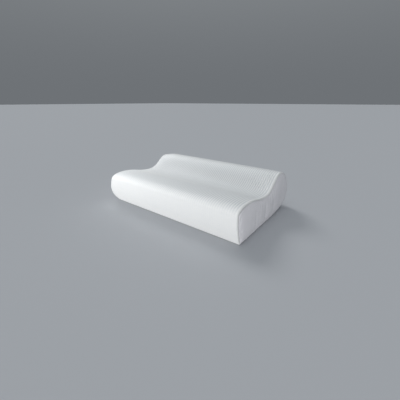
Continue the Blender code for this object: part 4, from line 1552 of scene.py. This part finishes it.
# %% Slider
CLOSED_X = 0.2158              # where the slider stands when the zip is closed
SLIDER_HALF = 0.0060
SLIDER_SHOULDER = 0.00455      # half width at the end that meets the open zip
SLIDER_TAIL = 0.00400
PLATE = 0.0010
OUTER_FACE = 0.0008
INNER_FACE = -0.0038
CROWN_UNDER = 0.002814
CROWN_TOP = 0.003614
CROWN_HALF = 0.0038
CROWN_LEG = 0.0012
CROWN_HALF_WIDTH = 0.0012
CROWN_FOOT = 0.0004            # the legs' feet, just outside the middle of the outer plate
CROWN_EDGE = 0.00015
# the crown's rounded shoulder, as distances in from its end and down from its top
CROWN_SHOULDER = ((0.0, 0.0011), (0.0003, 0.0005), (0.0010, 0.0))
PLAN_POINTS = 48
PLAN_SQUARENESS = 0.45         # 1 would be an oval, and near 0 a square
RIM_HALF_LENGTH = 0.0052
RIM_WALL = (0.0034, 0.0043)    # the turned rims, out from the zip's centre line
OUTER_RIM = (-0.0012, 0.0)     # and how deep each of them reaches
INNER_RIM = (-0.0030, -0.0023)
RIM_EDGE = 0.0002
POST_LOW = (0.0012, -0.0032, -0.00015)
POST_HIGH = (0.0030, 0.0002, 0.00015)
POST_EDGE = 0.00005


def squared(value):
    """A sine or cosine pushed out towards the corners of a square."""
    return math.copysign(abs(value) ** PLAN_SQUARENESS, value)


TURN_OUT = Matrix.Rotation(math.pi / 2, 4, "X")
plan = []
for k in range(PLAN_POINTS):
    angle = 2 * math.pi * k / PLAN_POINTS
    along = SLIDER_HALF * squared(math.cos(angle))
    half = SLIDER_TAIL + (SLIDER_SHOULDER - SLIDER_TAIL) * (along / SLIDER_HALF + 1) / 2
    plan.append((along, half * squared(math.sin(angle))))
slider = bmesh.new()
for plate_middle in (OUTER_FACE - PLATE / 2, INNER_FACE + PLATE / 2):
    add_plate(slider, [plan], PLATE, Matrix.Translation((0.0, plate_middle, 0.0)) @ TURN_OUT)
for side in (-1, 1):
    low, high = sorted((side * RIM_WALL[0], side * RIM_WALL[1]))
    for deep, shallow in (OUTER_RIM, INNER_RIM):
        add_block(slider, (-RIM_HALF_LENGTH, deep, low), (RIM_HALF_LENGTH, shallow, high),
                  RIM_EDGE)
add_block(slider, POST_LOW, POST_HIGH, POST_EDGE)
leg = [(CROWN_HALF - CROWN_LEG, CROWN_UNDER), (CROWN_HALF - CROWN_LEG, CROWN_FOOT),
       (CROWN_HALF, CROWN_FOOT)]
leg += [(CROWN_HALF - inwards, CROWN_TOP - down) for inwards, down in CROWN_SHOULDER]
arch = leg + [(-along, out) for along, out in reversed(leg)]
add_plate(slider, [arch], 2 * CROWN_HALF_WIDTH, Matrix.Identity(4), CROWN_EDGE)
slider.transform(ZIP_ORIGIN @ Matrix.Translation((CLOSED_X, 0.0, 0.0)))
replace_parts(metal("zip_slider_body", slider, "zip_slider"), "zip_slider")
print("slider is %.1f mm long" % (2000 * SLIDER_HALF))

# %% [markdown]
# The pull is one flat casting: a bar that turns under the crown, two rails beside a slot
# for the crown's leg, and a broader rounded tab with a hole. One side of its outline is
# drawn, and the other side mirrors it.

# %% Pull
PULL_LENGTH = 0.0260
PULL_BAR = 0.0005
PULL_RAIL_HALF = 0.0027
PULL_SLOT_HALF = 0.0015
PULL_SLOT_END = 0.0048
PULL_TIP_HALF = 0.0034
PULL_HOLE_RADIUS = 0.0014
PULL_HOLE_FROM_TIP = 0.0040
PULL_THICKNESS = 0.0010
PIVOT_OUT = 0.001807
PULL_FLARE = 0.0040            # over this length the rails broaden into the tab
PULL_EDGE = 0.00022
FLARE_STEPS = 8
ROUND_STEPS = 20

rail = [(PULL_BAR, PULL_RAIL_HALF), (-PULL_SLOT_END, PULL_RAIL_HALF)]
for k in range(1, FLARE_STEPS):
    t = k / FLARE_STEPS
    rail.append((-PULL_SLOT_END - PULL_FLARE * t,
                 PULL_RAIL_HALF + (PULL_TIP_HALF - PULL_RAIL_HALF) * float(smooth(t))))
tip = []
for k in range(ROUND_STEPS + 1):
    angle = math.pi / 2 + math.pi * k / ROUND_STEPS
    tip.append((PULL_TIP_HALF - PULL_LENGTH + PULL_TIP_HALF * math.cos(angle),
                PULL_TIP_HALF * math.sin(angle)))
tab = rail + tip + [(along, -half) for along, half in reversed(rail)]
slot_hole = [(-PULL_BAR, -PULL_SLOT_HALF), (-PULL_BAR, PULL_SLOT_HALF),
             (-PULL_SLOT_END, PULL_SLOT_HALF), (-PULL_SLOT_END, -PULL_SLOT_HALF)]
round_hole = [(PULL_HOLE_FROM_TIP - PULL_LENGTH + PULL_HOLE_RADIUS * math.cos(angle),
               PULL_HOLE_RADIUS * math.sin(angle))
              for angle in np.linspace(0, 2 * math.pi, ROUND_STEPS, endpoint=False)]
pull = bmesh.new()
add_plate(pull, [tab, slot_hole, round_hole], PULL_THICKNESS, TURN_OUT, PULL_EDGE)
pull.transform(ZIP_ORIGIN @ Matrix.Translation((CLOSED_X, PIVOT_OUT, 0.0)))
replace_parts(metal("zip_pull_tab", pull, "zip_pull"), "zip_pull")
print("pull is %.0f mm long" % (1000 * PULL_LENGTH))

# %% [markdown]
# ## Care label
#
# A folded strip of satin ribbon is caught under the lower row of stitching and hangs round
# the rear corner. It carries no print. Satin's long floating threads run along the ribbon
# and give it a soft lengthwise shine, so its noise is stretched along them.

# %% Satin
SATIN_COLOUR = "F4F4F2"
SATIN_DARK = "E8E8E6"
SATIN_PALE = "F9F9F8"
SATIN_ROUGHNESS = 0.36
SATIN_HALO = 0.2
SATIN_SHINE = 0.5              # how much longer the highlight is than it is wide
STRAND_SIZE = 0.0005
STRAND_STRETCH = 0.12
STRAND_DEPTH = 0.00005

satin_label = new_material("woven_satin_ribbon", SATIN_COLOUR, SATIN_ROUGHNESS,
                           Sheen_Weight=SATIN_HALO, Anisotropic=SATIN_SHINE)
ribbon_cut = cut_place(satin_label)[0]
floats = add_node(satin_label, "ShaderNodeMapping",
                  {"Vector": ribbon_cut, "Scale": (1.0, STRAND_STRETCH, 1.0)})
strands = add_node(satin_label, "ShaderNodeTexNoise",
                   {"Vector": floats, "Scale": 1 / STRAND_SIZE, "Detail": NOISE_DETAIL})
add_node(satin_label, "ShaderNodeBump",
         {"Height": strands, "Distance": STRAND_DEPTH, "Strength": 1.0}, feeds="Normal")
add_node(satin_label, "ShaderNodeMix",
         {MIX_FACTOR: strands, MIX_FIRST: linear(SATIN_DARK), MIX_SECOND: linear(SATIN_PALE)},
         MIXED, "Base Color", data_type="RGBA")
print("satin", satin_label.name)

# %% Label
LABEL_WIDTH = 0.0300
LABEL_LENGTH = 0.0260
LABEL_X = -0.1500
LABEL_CLOTH = 0.0004
LABEL_COLUMNS = 31
LABEL_ROWS = 27
LABEL_TOP = 0.03645            # height of the label's caught edge
LABEL_START = ZIP_HEIGHT - OPENING_HALF - LABEL_TOP
LABEL_OUT = 0.0008
LABEL_CURL = 0.0022
CURL_GROWTH = 2.2              # how late the curl starts down the label
CURL_EVENNESS = 0.75           # 1 would curl both corners alike
LABEL_WAVE = 0.0006
LABEL_WAVE_TURNS = 7.5
LABEL_WAVE_START = 0.6


def label_place(column, row):
    across = column / (LABEL_COLUMNS - 1)
    down = row / (LABEL_ROWS - 1)
    distance = LABEL_START + down * LABEL_LENGTH
    curl = LABEL_CURL * (CURL_EVENNESS + (1 - CURL_EVENNESS) * across) * down ** CURL_GROWTH
    wave = LABEL_WAVE * np.sin(LABEL_WAVE_TURNS * across + LABEL_WAVE_START) * down ** 2
    lift = LABEL_OUT + curl + wave
    point = at(BASE_PATH, distance) + outward(BASE_PATH, distance) * lift[:, None]
    x = LABEL_X + (across - 0.5) * LABEL_WIDTH
    return world_points(np.column_stack((x, point)))


def label_cut(column, row):
    return np.column_stack((column / (LABEL_COLUMNS - 1) * LABEL_WIDTH,
                            row / (LABEL_ROWS - 1) * LABEL_LENGTH))


label = grid_sheet("care_label_ribbon", LABEL_COLUMNS, LABEL_ROWS, label_place, label_cut,
                   satin_label, LABEL_CLOTH)
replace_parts(label, "care_label")
print("label", len(label.data.polygons), "faces")

# %% [markdown]
# ## A loop over the two ends, which does nothing


for side in SIDE_NAMES:
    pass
